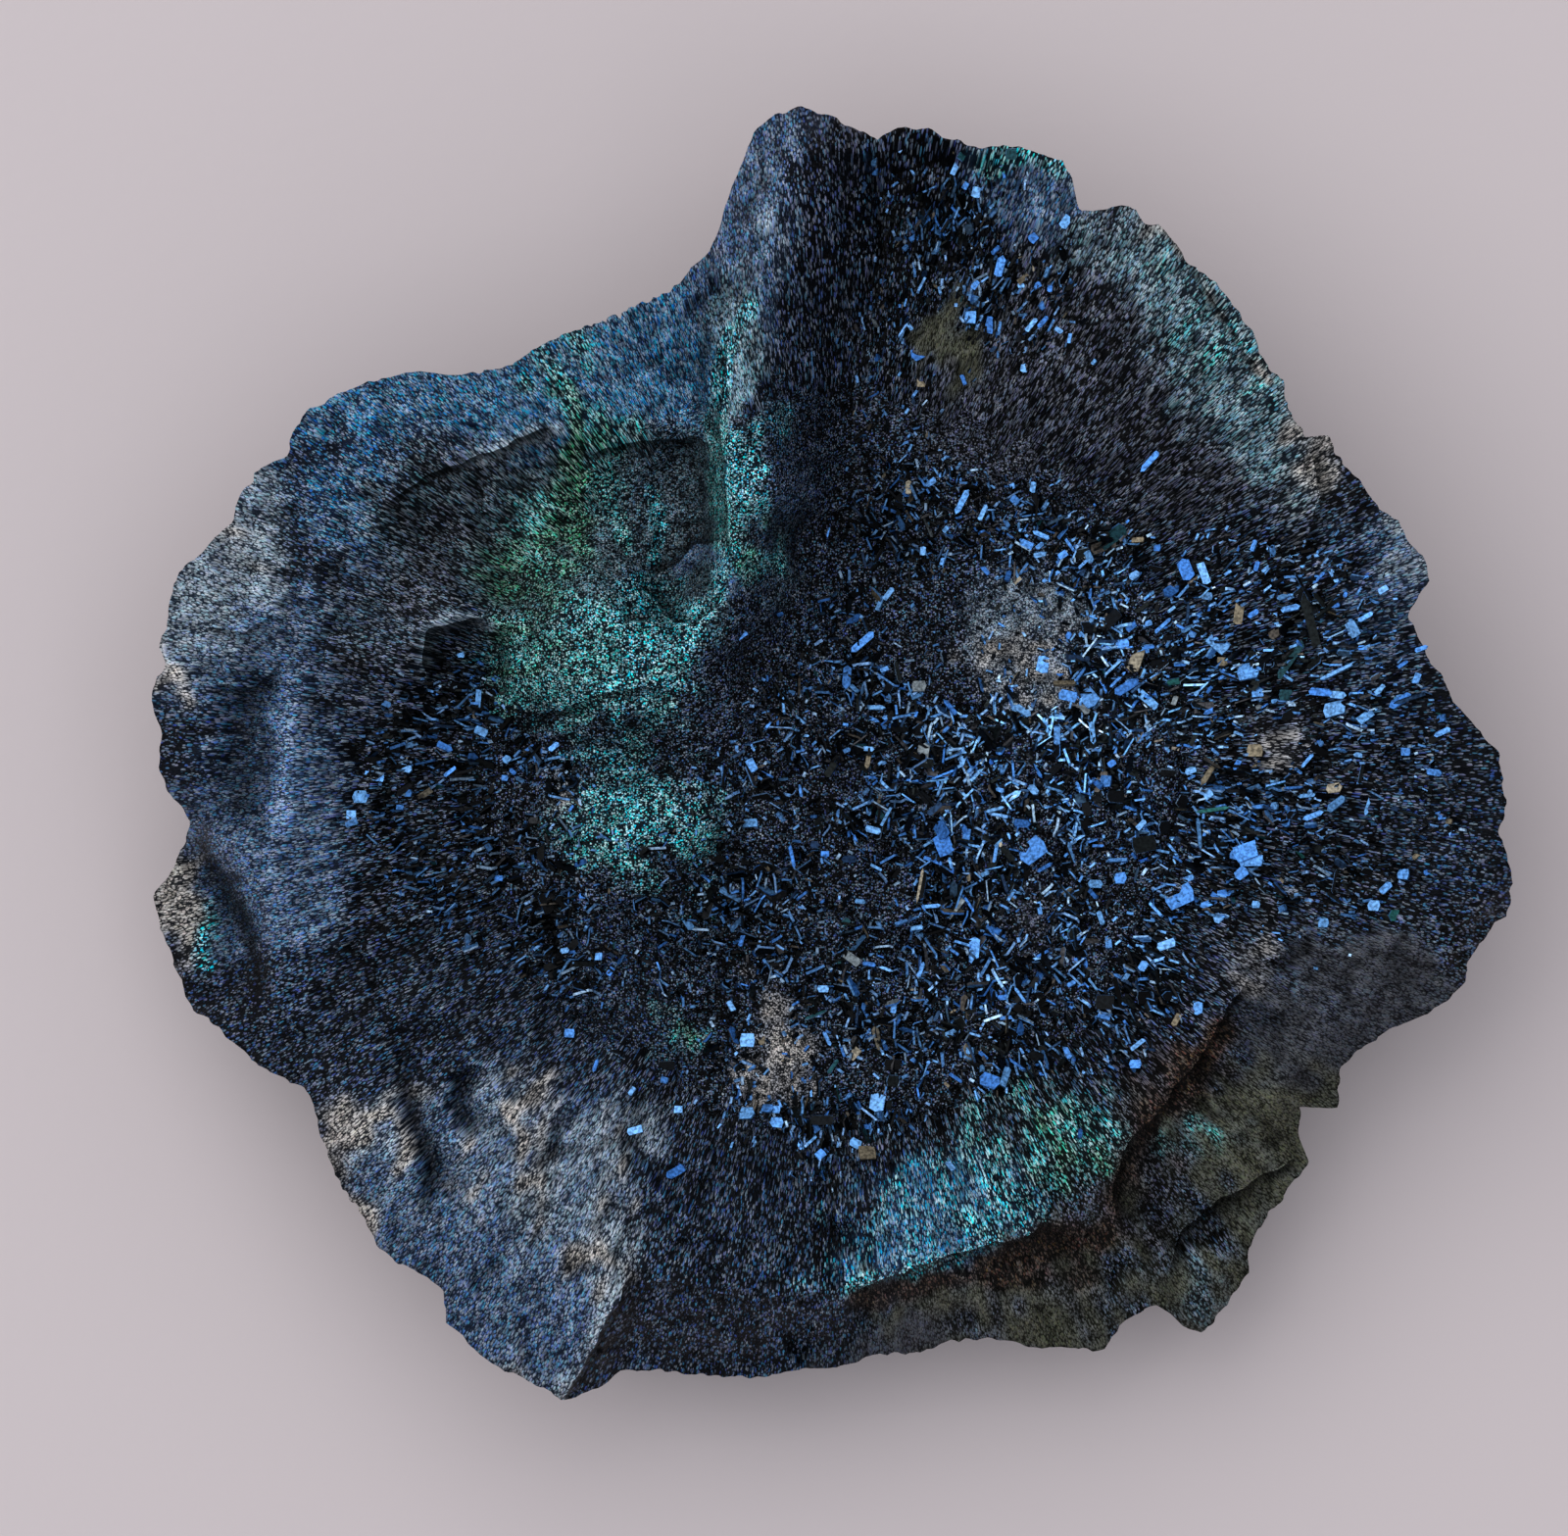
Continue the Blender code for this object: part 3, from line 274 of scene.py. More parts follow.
# Colours of the ore: the colour of its gaps, the colour of its lit grains and the share they cover, with
# the patches of face that have them: pixel across and down, half width and height in pixels, strength
ORE_TONES = {
    "dark blue ore": ("06090f", "404e6c", 0.45, [
        (900, 900, 900, 900, 0.05), (420, 1030, 100, 50, 1.0), (1490, 780, 40, 60, 0.8),
        (600, 1010, 120, 60, 0.8), (760, 1240, 80, 70, 1.3), (1480, 880, 40, 50, 1.0),
        # The patch at (792, 420) on the ridge's right flank, and the one at (740, 1360) on the bottom facet,
        # are painted shade on faces turned from the key light
        (340, 620, 40, 80, 0.5), (792, 420, 14, 110, 2.4), (290, 540, 16, 50, 0.9),
        (740, 1360, 110, 34, 1.8), (225, 735, 30, 40, 0.6), (330, 450, 50, 20, 0.7),
        (400, 460, 60, 14, 0.6),
    ]),
    "black hollow": ("020204", "4e5c7a", 0.38, [
        (915, 240, 32, 80, 2.0), (950, 600, 140, 90, 0.8), (1080, 860, 240, 150, 0.8),
        (1260, 640, 140, 80, 0.8), (870, 860, 120, 160, 0.8), (735, 980, 26, 90, 1.4),
        # Of these, (822, 550) and (865, 450) below the ridge and (822, 390) and (838, 240) on its right flank
        # are painted shade and painted shadow of the ridge
        (940, 1080, 160, 70, 0.8), (460, 790, 90, 100, 1.1), (822, 550, 14, 40, 1.2),
        (865, 450, 36, 120, 0.7), (780, 780, 60, 60, 0.7), (1320, 880, 90, 60, 0.6),
        (468, 668, 28, 14, 0.8), (560, 920, 120, 60, 0.5), (912, 225, 26, 80, 6.0),
        (822, 390, 24, 150, 4.0), (838, 240, 16, 90, 2.0), (672, 490, 26, 36, 1.2),
        (1490, 966, 34, 24, 2.4), (450, 860, 60, 60, 0.6), (950, 610, 60, 40, 0.8),
        (1100, 430, 70, 40, 0.3), (1145, 1345, 12, 36, 2.4), (1200, 1260, 70, 60, 0.7),
        (1110, 1195, 60, 40, 0.5), (600, 640, 80, 60, 0.35),
    ]),
    "steel blue ore": ("131e30", "4c5e7c", 0.72, [
        (800, 165, 36, 50, 1.3), (765, 250, 34, 80, 1.8), (300, 760, 50, 90, 1.0),
        (285, 860, 40, 60, 1.2), (480, 1240, 60, 60, 0.8), (560, 1370, 40, 40, 1.4),
        (480, 1330, 50, 40, 0.8), (1420, 620, 40, 60, 0.8), (1060, 190, 40, 30, 0.8),
        (255, 740, 30, 60, 0.8), (340, 620, 50, 60, 0.5), (230, 660, 40, 60, 0.6),
        (540, 1320, 60, 50, 1.0), (500, 1200, 90, 70, 0.7),
    ]),
    "pale weathered ore": ("1c2735", "7c8894", 0.74, [
        (235, 590, 46, 60, 1.5), (190, 690, 12, 30, 0.3), (560, 1220, 50, 50, 0.9),
        (600, 1295, 46, 30, 1.0), (400, 1175, 30, 40, 0.5), (500, 1165, 30, 50, 0.7),
        (640, 1150, 30, 30, 0.4), (540, 1390, 30, 20, 0.8), (1440, 560, 20, 30, 0.8),
        (1060, 720, 24, 30, 0.9), (410, 640, 20, 60, 0.4), (1050, 640, 44, 34, 3.6),
        (780, 250, 20, 50, 0.8),
    ]),
    "blue sheen": ("0f1e36", "486c8e", 0.7, [
        (330, 480, 60, 50, 0.9), (390, 430, 70, 32, 1.3), (500, 405, 70, 30, 1.3),
        (600, 375, 60, 34, 1.2), (675, 355, 36, 50, 1.5), (690, 410, 30, 30, 0.9),
        (507, 404, 24, 14, 0.6), (950, 1245, 44, 40, 0.8), (890, 1285, 44, 30, 0.8),
        (1010, 1210, 40, 30, 0.4),
    ]),
    "cyan sheen": ("08141e", "70c0d4", 0.5, [
        (652, 616, 26, 16, 2.4), (576, 628, 16, 14, 1.6), (676, 530, 7, 12, 1.6),
        (600, 660, 20, 12, 1.2), (880, 1275, 40, 30, 0.6), (950, 1250, 60, 34, 0.4),
        (655, 690, 30, 30, 1.0), (1010, 1215, 40, 28, 0.4), (640, 825, 60, 30, 0.8),
        (765, 480, 14, 26, 2.8), (784, 440, 10, 12, 2.0), (205, 950, 10, 20, 0.5),
        (1055, 155, 20, 12, 0.9), (600, 860, 30, 18, 1.0), (700, 650, 20, 10, 1.4),
    ]),
    "teal tarnish": ("08161c", "6cb6bc", 0.5, [
        (560, 680, 50, 40, 1.3), (540, 545, 30, 30, 0.8), (626, 490, 20, 34, 1.0),
        (600, 640, 50, 30, 1.0), (620, 700, 50, 30, 1.4), (765, 560, 14, 24, 2.4),
        (755, 530, 10, 20, 2.2), (610, 855, 40, 26, 1.3), (705, 830, 24, 20, 1.2),
        (1080, 1140, 46, 26, 0.9), (1060, 1180, 60, 30, 1.0), (730, 945, 20, 24, 0.9),
        (695, 1055, 16, 14, 0.9), (1205, 300, 34, 40, 0.5), (1250, 360, 30, 40, 0.6),
        (1290, 450, 18, 26, 0.8), (1040, 158, 20, 12, 0.9), (1225, 1155, 36, 14, 0.5),
        (584, 400, 12, 40, 1.4), (555, 380, 20, 30, 0.7),
    ]),
    "green tarnish": ("0a1814", "68ac96", 0.46, [
        (545, 548, 22, 24, 1.5), (584, 450, 11, 34, 1.5), (502, 590, 18, 30, 1.2),
        (560, 600, 34, 50, 0.6), (530, 670, 30, 26, 0.9), (1110, 1190, 30, 24, 0.6),
        (762, 545, 8, 20, 1.0), (1075, 1130, 30, 14, 0.8), (690, 1052, 12, 10, 1.0),
        (590, 520, 12, 30, 0.9),
    ]),
    "slate dusk ore": ("0c1218", "566a78", 0.58, [
        (670, 500, 50, 44, 1.6), (640, 560, 40, 24, 1.2), (700, 600, 20, 30, 1.2),
        (520, 500, 30, 20, 1.0), (800, 560, 26, 50, 0.8), (710, 560, 26, 50, 1.0),
        (470, 600, 30, 30, 0.6), (430, 500, 40, 36, 2.0), (540, 600, 60, 60, 0.8),
        (380, 620, 40, 50, 0.7), (1232, 1316, 24, 34, 1.2),
    ]),
    "brown ore": ("07080b", "54586a", 0.5, [
        (455, 540, 40, 60, 1.3), (420, 480, 50, 26, 0.9), (390, 620, 40, 60, 0.9),
        (850, 250, 30, 110, 1.3), (1090, 400, 110, 60, 1.2), (1220, 480, 80, 50, 1.0),
        (1150, 300, 40, 60, 0.7), (1050, 940, 40, 40, 0.8), (400, 700, 60, 50, 0.5),
        (1050, 1340, 90, 30, 0.8), (1180, 1220, 40, 50, 0.7),
    ]),
    "teal dusk ore": ("141e28", "6a8492", 0.7, [
        (1205, 300, 40, 50, 1.6), (1250, 370, 40, 50, 1.6), (1290, 440, 28, 44, 1.8),
        (1140, 250, 30, 30, 0.8), (1320, 500, 20, 30, 0.6), (760, 300, 18, 60, 1.6),
        (745, 400, 12, 50, 1.4),
    ]),
    "rusty crease": ("080605", "46392e", 0.5, [
        (1170, 1180, 22, 60, 1.8), (1120, 1250, 50, 16, 1.2), (1210, 1100, 30, 26, 0.9),
        (1010, 1300, 60, 14, 1.2),
    ]),
    "olive ore": ("16170f", "3c3e34", 0.82, [
        (1270, 1210, 60, 70, 1.8), (1330, 1130, 40, 30, 1.4), (1180, 1290, 60, 50, 1.6),
        (1040, 1345, 130, 30, 1.8), (1230, 1330, 30, 40, 1.4), (1100, 1350, 60, 20, 1.2),
        (1500, 975, 30, 24, 1.2), (968, 348, 14, 26, 4.0),
    ]),
    "grey ore": ("121318", "32343a", 0.82, [
        (1400, 1010, 70, 40, 1.4), (1330, 1060, 50, 34, 1.2), (1500, 970, 34, 34, 1.0),
        (900, 1370, 60, 24, 1.0), (1290, 970, 50, 30, 0.5),
    ]),
    "sandy grains": ("1a1c20", "94908a", 0.7, [
        (1030, 670, 26, 18, 2.4), (1080, 640, 20, 24, 2.0), (800, 1095, 28, 30, 3.0),
        (785, 1040, 12, 30, 1.4), (1303, 765, 18, 26, 1.2), (1275, 975, 22, 28, 0.9),
        (968, 348, 16, 28, 0.25), (1325, 490, 16, 44, 1.3), (172, 905, 14, 30, 0.7),
        (1068, 700, 18, 16, 1.4), (1180, 240, 26, 16, 1.0), (1100, 720, 12, 10, 1.0),
        (175, 680, 8, 16, 0.5), (535, 1400, 26, 14, 0.8), (1285, 930, 14, 16, 0.7),
        (240, 560, 20, 24, 0.5), (600, 1292, 30, 20, 1.3), (408, 1150, 20, 22, 0.9),
        (350, 1180, 16, 50, 0.8), (470, 1190, 12, 40, 1.0), (545, 1180, 14, 50, 0.9),
        (620, 1200, 12, 30, 0.6), (560, 820, 14, 14, 1.2),
    ]),
}
# The tones of the broken side and underside, and those that lie on the face in small patches
BREAK_TONES = ("dark blue ore", "steel blue ore", "brown ore", "slate dusk ore", "grey ore")
PATCHY_TONES = ("olive ore", "green tarnish", "teal tarnish", "cyan sheen", "sandy grains")
# Thin streaks of a tone: tone, half width in pixels, strength, line of pixels
TONE_STREAKS = [
    ("cyan sheen", 6, 7.0, [(766, 313), (750, 341), (741, 360), (734, 390), (732, 432)]),
    ("teal tarnish", 7, 5.0, [(732, 432), (738, 465), (738, 530), (740, 575), (728, 612)]),
    ("cyan sheen", 9, 4.0, [(740, 560), (727, 614), (696, 642), (654, 672), (632, 700)]),
    ("steel blue ore", 8, 4.0, [(744, 600), (736, 570), (712, 562), (694, 580)]),
    ("pale weathered ore", 5, 4.0, [(432, 690), (431, 645), (456, 633), (500, 640)]),
    ("pale weathered ore", 6, 3.0, [(486, 470), (528, 450), (570, 434)]),
    ("sandy grains", 4, 4.0, [(1186, 235), (1225, 285), (1258, 340), (1290, 390)]),
    ("cyan sheen", 5, 4.0, [(862, 1314), (905, 1303), (950, 1290), (990, 1272)]),
    # The next two streaks run along the bottom facet's edge: pale on its upper side, partly a painted
    # highlight, and dark below it, painted shade on the facet turned from the key light
    ("pale weathered ore", 7, 4.0, [(562, 1436), (592, 1384), (618, 1340), (634, 1308), (626, 1250)]),
    ("dark blue ore", 12, 6.0, [(590, 1430), (612, 1392), (634, 1350), (656, 1318)]),
    ("sandy grains", 6, 3.0, [(583, 1288), (612, 1276), (643, 1300), (620, 1322)]),
    ("sandy grains", 5, 3.0, [(371, 1142), (400, 1134), (422, 1170), (408, 1196)]),
    ("sandy grains", 5, 3.0, [(516, 1128), (534, 1160), (530, 1204), (552, 1206)]),
    ("green tarnish", 5, 5.0, [(584, 395), (590, 450), (586, 500), (592, 560)]),
    ("teal tarnish", 6, 5.0, [(618, 470), (630, 520), (640, 560)]),
    ("cyan sheen", 5, 4.0, [(668, 500), (676, 540), (664, 572)]),
    ("rusty crease", 10, 6.0, [(880, 1326), (950, 1306), (1010, 1290), (1066, 1268), (1118, 1262)]),
    ("rusty crease", 9, 5.0, [(1125, 1262), (1146, 1200), (1176, 1148), (1214, 1100), (1250, 1050)]),
    # Painted shade at the foot of the crease beside the cyan shelf
    ("black hollow", 5, 4.0, [(826, 1258), (840, 1290), (852, 1318)]),
    ("cyan sheen", 4, 4.0, [(1246, 318), (1268, 352), (1290, 398), (1300, 430)]),
]


# A patch's bell is this steep; where no patch reaches, a tone still has the least weight; a power of the
# weights narrows the borders between tones
PATCH_FALL = 0.7
LEAST_WEIGHT = 1e-5
TONE_CRISPNESS = 2.0
# Noise that moves the patches: height and size in millimetres, and seed; streaks are moved less
WARP_ACROSS = [(1.2, 3.1, 61), (0.9, 1.1, 62)]
WARP_UP = [(1.2, 3.1, 63), (0.9, 1.1, 64)]
STREAK_WARP = 0.15
# Mottling of the weights: blotches of two sizes, the smaller ones stronger in the patchy tones
BLOTCH_SIZE, BLOTCH_STRENGTH = 2.6 * MM, 0.6
SPECK_SIZE, SPECK_STRENGTH, PATCHY_SPECK_STRENGTH = 0.9 * MM, 0.8, 1.7
# Radii in millimetres at which a direction is turned into a length: on the fluted face and at the rim
FLUTE_RADIUS, RIM_RADIUS = 32, 40
# More than any distance on the specimen
SIZE_LIMIT = 1000 * MM


def streaks(x, y, size, seed):
    """Noise that is even in the middle of the face and drawn out along the fibres beyond it."""
    reach, arc = np.hypot(x, y), np.arctan2(y, x) * FLUTE_RADIUS * MM
    outer = smoothstep(16 * MM, 26 * MM, reach)
    return noise(x, y, size, seed) * (1 - outer) + noise(arc, reach * 0.4, size * 0.75, seed) * outer


def patch_distance(x, y, px, py, half_width, half_height):
    """Squared distance from a place in the photograph, counted in half widths and half heights."""
    cx, cy = place(px, py)
    return ((x - cx) / (half_width * PIXEL)) ** 2 + ((y - cy) / (half_height * PIXEL)) ** 2


def line_bell(away, half_width):
    """1 on a line and less away from it, as a bell with a half width in pixels."""
    return np.exp(-(away / (half_width * PIXEL)) ** 2)


def face_weights(x, y):
    """Each tone's name and weight on the face: bells round its patches and streaks, times its mottling."""
    warp_x, warp_y = layers(x, y, WARP_ACROSS), layers(x, y, WARP_UP)
    for seed, (name, (_, _, _, patches)) in enumerate(ORE_TONES.items()):
        weight = np.full(x.shape, LEAST_WEIGHT)
        for *patch, strength in patches:
            weight += strength * np.exp(-PATCH_FALL * patch_distance(x + warp_x, y + warp_y, *patch))
        for tone, half_width, strength, line in TONE_STREAKS:
            if tone == name:
                away, _ = along_line(x + STREAK_WARP * warp_x, y + STREAK_WARP * warp_y, line)
                weight += strength * line_bell(away, half_width)
        specks = PATCHY_SPECK_STRENGTH if name in PATCHY_TONES else SPECK_STRENGTH
        mottled = BLOTCH_STRENGTH * streaks(x, y, BLOTCH_SIZE, 200 + seed)
        mottled = mottled + specks * streaks(x, y, SPECK_SIZE, 220 + seed)
        yield name, (weight * np.exp(mottled)) ** TONE_CRISPNESS


def broken_weights(x, y, z):
    """Each tone's name and weight on the broken side and underside: blotches of two sizes."""
    around, down = np.arctan2(y, x) * RIM_RADIUS * MM, z - np.hypot(x, y)
    for seed, name in enumerate(BREAK_TONES):
        blotches, specks = noise(around, down, 5 * MM, 240 + seed), noise(around, down, 1.3 * MM, 260 + seed)
        yield name, np.exp(4 * blotches + 3 * specks)


def tone_mean(shape, weights):
    """The weighted mean of tones at each place: gap colour, lit colour and share of lit grains."""
    mixed, total = np.zeros((*shape, 7)), np.zeros(shape)
    for name, weight in weights:
        gap, lit, cover, _ = ORE_TONES[name]
        mixed += weight[..., None] * np.concatenate([linear(gap), linear(lit), [cover]])
        total += weight
    mixed /= total[..., None]
    return mixed[..., :3], mixed[..., 3:6], mixed[..., 6]


# Where the crystals crowd: pixel across and down, half width and height in pixels, share
CROWDS = [
    (1140, 650, 150, 90, 1.0), (1290, 640, 100, 80, 0.85), (1330, 800, 100, 90, 0.6),
    (1180, 800, 160, 130, 1.0), (960, 740, 110, 100, 0.9), (980, 900, 130, 120, 1.0),
    (1120, 970, 120, 90, 0.8), (880, 1020, 110, 90, 0.7), (840, 1150, 90, 50, 0.8),
    (1020, 1060, 110, 60, 0.8), (1030, 260, 70, 90, 0.8), (470, 790, 90, 100, 0.8),
    (440, 880, 80, 60, 0.7), (560, 960, 120, 60, 0.5), (660, 900, 80, 90, 0.5),
    (1040, 520, 110, 40, 0.8), (930, 560, 80, 80, 0.5), (800, 850, 90, 120, 0.7),
    (1420, 690, 40, 60, 0.5), (560, 780, 70, 40, 0.6), (1240, 930, 110, 50, 0.6),
    (1120, 400, 90, 60, 0.22), (880, 420, 60, 120, 0.3), (890, 230, 40, 100, 0.28),
    (1060, 330, 70, 50, 0.5), (560, 1030, 160, 90, 0.2), (720, 1100, 80, 80, 0.45),
    (700, 780, 60, 80, 0.4), (1420, 850, 70, 40, 0.25),
]


# Where the crystals are duller or brighter than elsewhere: pixel across and down, half width and height in
# pixels, and by how much
LIGHTNESS = [
    (460, 800, 130, 120, -0.6), (600, 960, 160, 80, -0.45), (1060, 760, 120, 80, 0.8),
    (1160, 640, 120, 90, 0.6), (940, 600, 110, 90, -0.4), (860, 480, 60, 80, -0.5),
    (1380, 660, 80, 80, 0.3), (1150, 950, 200, 80, 0.2), (1400, 880, 100, 60, -0.4),
    (860, 880, 100, 160, -0.3), (1030, 260, 70, 90, -0.3), (1120, 420, 90, 60, -0.5),
    (880, 230, 50, 110, -0.2),
]


def crystal_light(x, y):
    """How bright the crystals are at each place, 1 being the rule."""
    light = np.ones(x.shape)
    for *patch, part in LIGHTNESS:
        light += part * np.exp(-PATCH_FALL * patch_distance(x, y, *patch))
    return light


# Where plain grain shows between the crystals: pixel across and down, half width and height in pixels
CLEARINGS = [
    (1055, 648, 52, 40), (1075, 710, 22, 20), (800, 1095, 34, 30), (785, 1040, 14, 30),
    (968, 348, 24, 34), (1303, 765, 20, 26), (1280, 975, 30, 34), (1340, 690, 26, 14),
    (1180, 640, 24, 12), (1050, 945, 26, 26), (1210, 905, 20, 20), (930, 650, 30, 50),
    (640, 820, 50, 30),
]


# How steeply crowds and clearings fall off, and how much of a crowd a clearing takes away
CROWD_FALL = 0.5
CLEARING_FALL = 0.7
CLEARING_DEPTH = 0.95


def crowding(x, y):
    """How densely crystals stand, from 0 to 1: the strongest bell, less the clearings, times noise."""
    share = np.zeros(x.shape)
    for *patch, part in CROWDS:
        share = np.maximum(share, part * np.exp(-CROWD_FALL * patch_distance(x, y, *patch)))
    for patch in CLEARINGS:
        share = share * (1 - CLEARING_DEPTH * np.exp(-CLEARING_FALL * patch_distance(x, y, *patch) ** 2))
    ragged = share * (1 + 0.9 * noise(x, y, 2.0 * MM, 71) + 0.8 * noise(x, y, 4.5 * MM, 72))
    return np.clip(ragged, 0, 1) * SURVEY.read(SURVEY.hollow, x, y)


# Crisp steps of the face, read as lines in pixels. Walking along a line, the ground on the left hand
# stands higher by so many millimetres
LEDGES = [
    (0.8, [(384, 520), (440, 485), (500, 462), (552, 440), (580, 436)]),
    (0.6, [(598, 468), (630, 455), (665, 448), (705, 447), (735, 455)]),
    (1.1, [(432, 700), (432, 640), (452, 637), (478, 632), (506, 632)]),
    (0.6, [(738, 552), (706, 562), (690, 574), (666, 592)]),
    (0.6, [(750, 592), (732, 622), (708, 641), (682, 632), (665, 612), (648, 590)]),
    (1.0, [(540, 1490), (575, 1425), (598, 1388), (620, 1346), (640, 1308), (648, 1290)]),
    (0.3, [(640, 1312), (690, 1306), (760, 1326), (850, 1318)]),
    (0.7, [(858, 1314), (905, 1305), (950, 1290), (990, 1275), (1040, 1262), (1066, 1248), (1110, 1254)]),
    (0.9, [(1135, 1266), (1138, 1215), (1142, 1180), (1165, 1150), (1195, 1120), (1222, 1080), (1252, 1030),
           (1285, 990)]),
    (0.4, [(850, 1200), (856, 1250), (862, 1314)]),
    (0.7, [(1195, 1304), (1205, 1262), (1240, 1228), (1290, 1202), (1332, 1180)]),
    (0.5, [(740, 330), (742, 380), (736, 440), (742, 500), (748, 560), (752, 600)]),
    (0.5, [(1186, 235), (1225, 285), (1258, 340), (1290, 390)]),
    (0.5, [(1330, 560), (1344, 505), (1336, 460)]),
    (0.4, [(205, 640), (250, 645), (290, 625)]),
    (0.5, [(215, 700), (262, 700), (285, 680)]),
    (0.4, [(500, 745), (560, 728), (610, 712), (655, 700), (690, 700)]),
]
# Grooves, as lines with their depth in millimetres and half width in pixels; below zero it is a swell
GROOVES = [
    (1.0, 10, [(266, 1004), (258, 960), (243, 925), (220, 890), (205, 862)]),
    (0.8, 9, [(414, 1100), (422, 1140), (438, 1185), (436, 1232)]),
    (0.7, 8, [(468, 1100), (476, 1148)]),
    (0.4, 5, [(712, 320), (721, 345), (716, 372), (713, 404)]),
    (0.4, 5, [(798, 150), (790, 175), (768, 205), (758, 232)]),
    (0.6, 26, [(248, 700), (252, 760), (248, 835)]),
    (-0.7, 12, [(170, 672), (188, 696)]),
    (-0.5, 14, [(284, 720), (292, 780), (286, 840)]),
    (0.5, 8, [(640, 1180), (655, 1120)]),
    (0.4, 7, [(560, 1180), (575, 1130)]),
    (0.5, 9, [(740, 1060), (738, 1010), (736, 940)]),
    (0.5, 8, [(905, 300), (900, 230), (890, 180)]),
    (0.5, 8, [(820, 600), (812, 560), (818, 520)]),
    (-0.5, 14, [(775, 470), (790, 500), (770, 560)]),
    (0.5, 7, [(335, 1180), (352, 1230), (380, 1270)]),
]
# A ledge's step is this wide and dies away over its reach; it stands at a share of its read height
LEDGE_WIDTH = 0.2 * MM
LEDGE_REACH = 2.0 * MM
LEDGE_SHARE = 0.7
# Over these shares of its length a ledge or a groove fades out at either end
LEDGE_END = 0.12
GROOVE_END = 0.2
# How much painted shade a groove of a millimetre puts on the ore, and the brightness that is left at least
# and at most
GROOVE_SHADE = 0.8
SHADE_LIMITS = (0.12, 1.7)
# Noise that makes lines ragged: height and size in millimetres, and seed
SHAKE_ACROSS = [(0.22, 1.3, 86), (0.12, 0.6, 87)]
SHAKE_UP = [(0.22, 1.3, 88), (0.12, 0.6, 89)]


def along_line(x, y, line):
    """Distance from a line of pixel places, positive on its left hand, and the share of it walked."""
    corners = np.array([place(px, py) for px, py in line])
    lengths = np.hypot(*np.diff(corners, axis=0).T)
    nearest = np.full(x.shape, np.inf)
    side, walked = np.zeros(x.shape), np.zeros(x.shape)
    for k, (start, end) in enumerate(zip(corners[:-1], corners[1:])):
        way = (end - start) / lengths[k]
        forward = np.clip((x - start[0]) * way[0] + (y - start[1]) * way[1], 0, lengths[k])
        away = np.hypot(x - start[0] - forward * way[0], y - start[1] - forward * way[1])
        left = np.sign(way[0] * (y - start[1]) - way[1] * (x - start[0]))
        closer = away < nearest
        nearest = np.where(closer, away, nearest)
        side = np.where(closer, left, side)
        walked = np.where(closer, lengths[:k].sum() + forward, walked)
    return nearest * side, walked / lengths.sum()


def shaken(x, y):
    """Places moved a little by noise, so that lines drawn there are ragged."""
    return layers(x, y, SHAKE_ACROSS, x), layers(x, y, SHAKE_UP, y)


def fading(share, run):
    """1 along a line, and softly down to 0 over the share `run` of it at either end."""
    return smoothstep(0, run, share) * smoothstep(0, run, 1 - share)


def breaks(x, y):
    """The ledges and grooves: steps that die away over a few millimetres, and bell-shaped troughs."""
    x, y = shaken(x, y)
    height = np.zeros(x.shape)
    for drop, line in LEDGES:
        away, share = along_line(x, y, line)
        step = np.clip(away / LEDGE_WIDTH, -1, 1) * np.exp(-np.abs(away) / LEDGE_REACH)
        height += LEDGE_SHARE * drop * MM * step * fading(share, LEDGE_END)
    for depth, half_width, line in GROOVES:
        away, share = along_line(x, y, line)
        height -= depth * MM * line_bell(away, half_width) * (0.4 + 0.6 * fading(share, GROOVE_END))
    return height


def groove_shade(x, y):
    """Painted shade in the ore's grooves, which are darker, and painted highlight on its swells, which are
    paler.
    """
    x, y = shaken(x, y)
    shade = np.ones(x.shape)
    for depth, half_width, line in GROOVES:
        away, _ = along_line(x, y, line)
        shade -= GROOVE_SHADE * min(max(depth, -0.5), 1) * line_bell(away, half_width)
    return np.clip(shade, *SHADE_LIMITS)


def ledge_signs(x, y):
    """Distance from the nearest ledge, positive on its upper side, and how strongly its painted highlight and
    shade show.
    """
    x, y = shaken(x, y)
    nearest, depth = np.full(x.shape, SIZE_LIMIT), np.zeros(x.shape)
    for drop, line in LEDGES:
        away, share = along_line(x, y, line)
        closer = np.abs(away) < np.abs(nearest)
        nearest = np.where(closer, away, nearest)
        depth = np.where(closer, fading(share, LEDGE_END) * min(drop + 0.3, 1), depth)
    return np.clip(nearest, -LEDGE_REACH, LEDGE_REACH), depth


# The face's roughness: height and size in millimetres, and seed
ROUGHNESS = [(0.14, 1.9, 80), (0.10, 1.1, 81), (0.10, 0.55, 82)]
# Flutes that run outwards near the rim: height and width in millimetres, lengthening and seed
FLUTES = [(0.17, 1.1, 0.3, 92), (0.10, 0.6, 0.35, 93)]
# Broken crystal faces of two sizes: size in millimetres, slope, step in millimetres and seed
FRACTURES = [(2.7, 0.24, 0.34, 83), (1.2, 0.30, 0.20, 91)]
# Where crystals crowd, the ground lies this much lower, with a roughness of its own
BED_DEPTH = 0.30 * MM
BED_ROUGHNESS = [(0.28, 1.1, 84)]


def ground(x, y):
    """The skin's height: the frame's face with ledges, fracture, radial flutes and broken grains."""
    reach, arc = np.hypot(x, y), np.arctan2(y, x) * FLUTE_RADIUS * MM
    flutes = sum(height * MM * noise(arc, reach * lengthening, width * MM, seed)
                 for height, width, lengthening, seed in FLUTES)
    steps = sum(facets(x, y, size * MM, slope, step * MM, seed) for size, slope, step, seed in FRACTURES)
    bed = layers(x, y, BED_ROUGHNESS, -BED_DEPTH)
    height = SURVEY.read(SURVEY.top, x, y) + layers(x, y, ROUGHNESS) + steps
    height = height + flutes * smoothstep(14 * MM, 26 * MM, reach)
    return height + bed * smoothstep(0.15, 0.7, crowding(x, y)) + breaks(x, y)


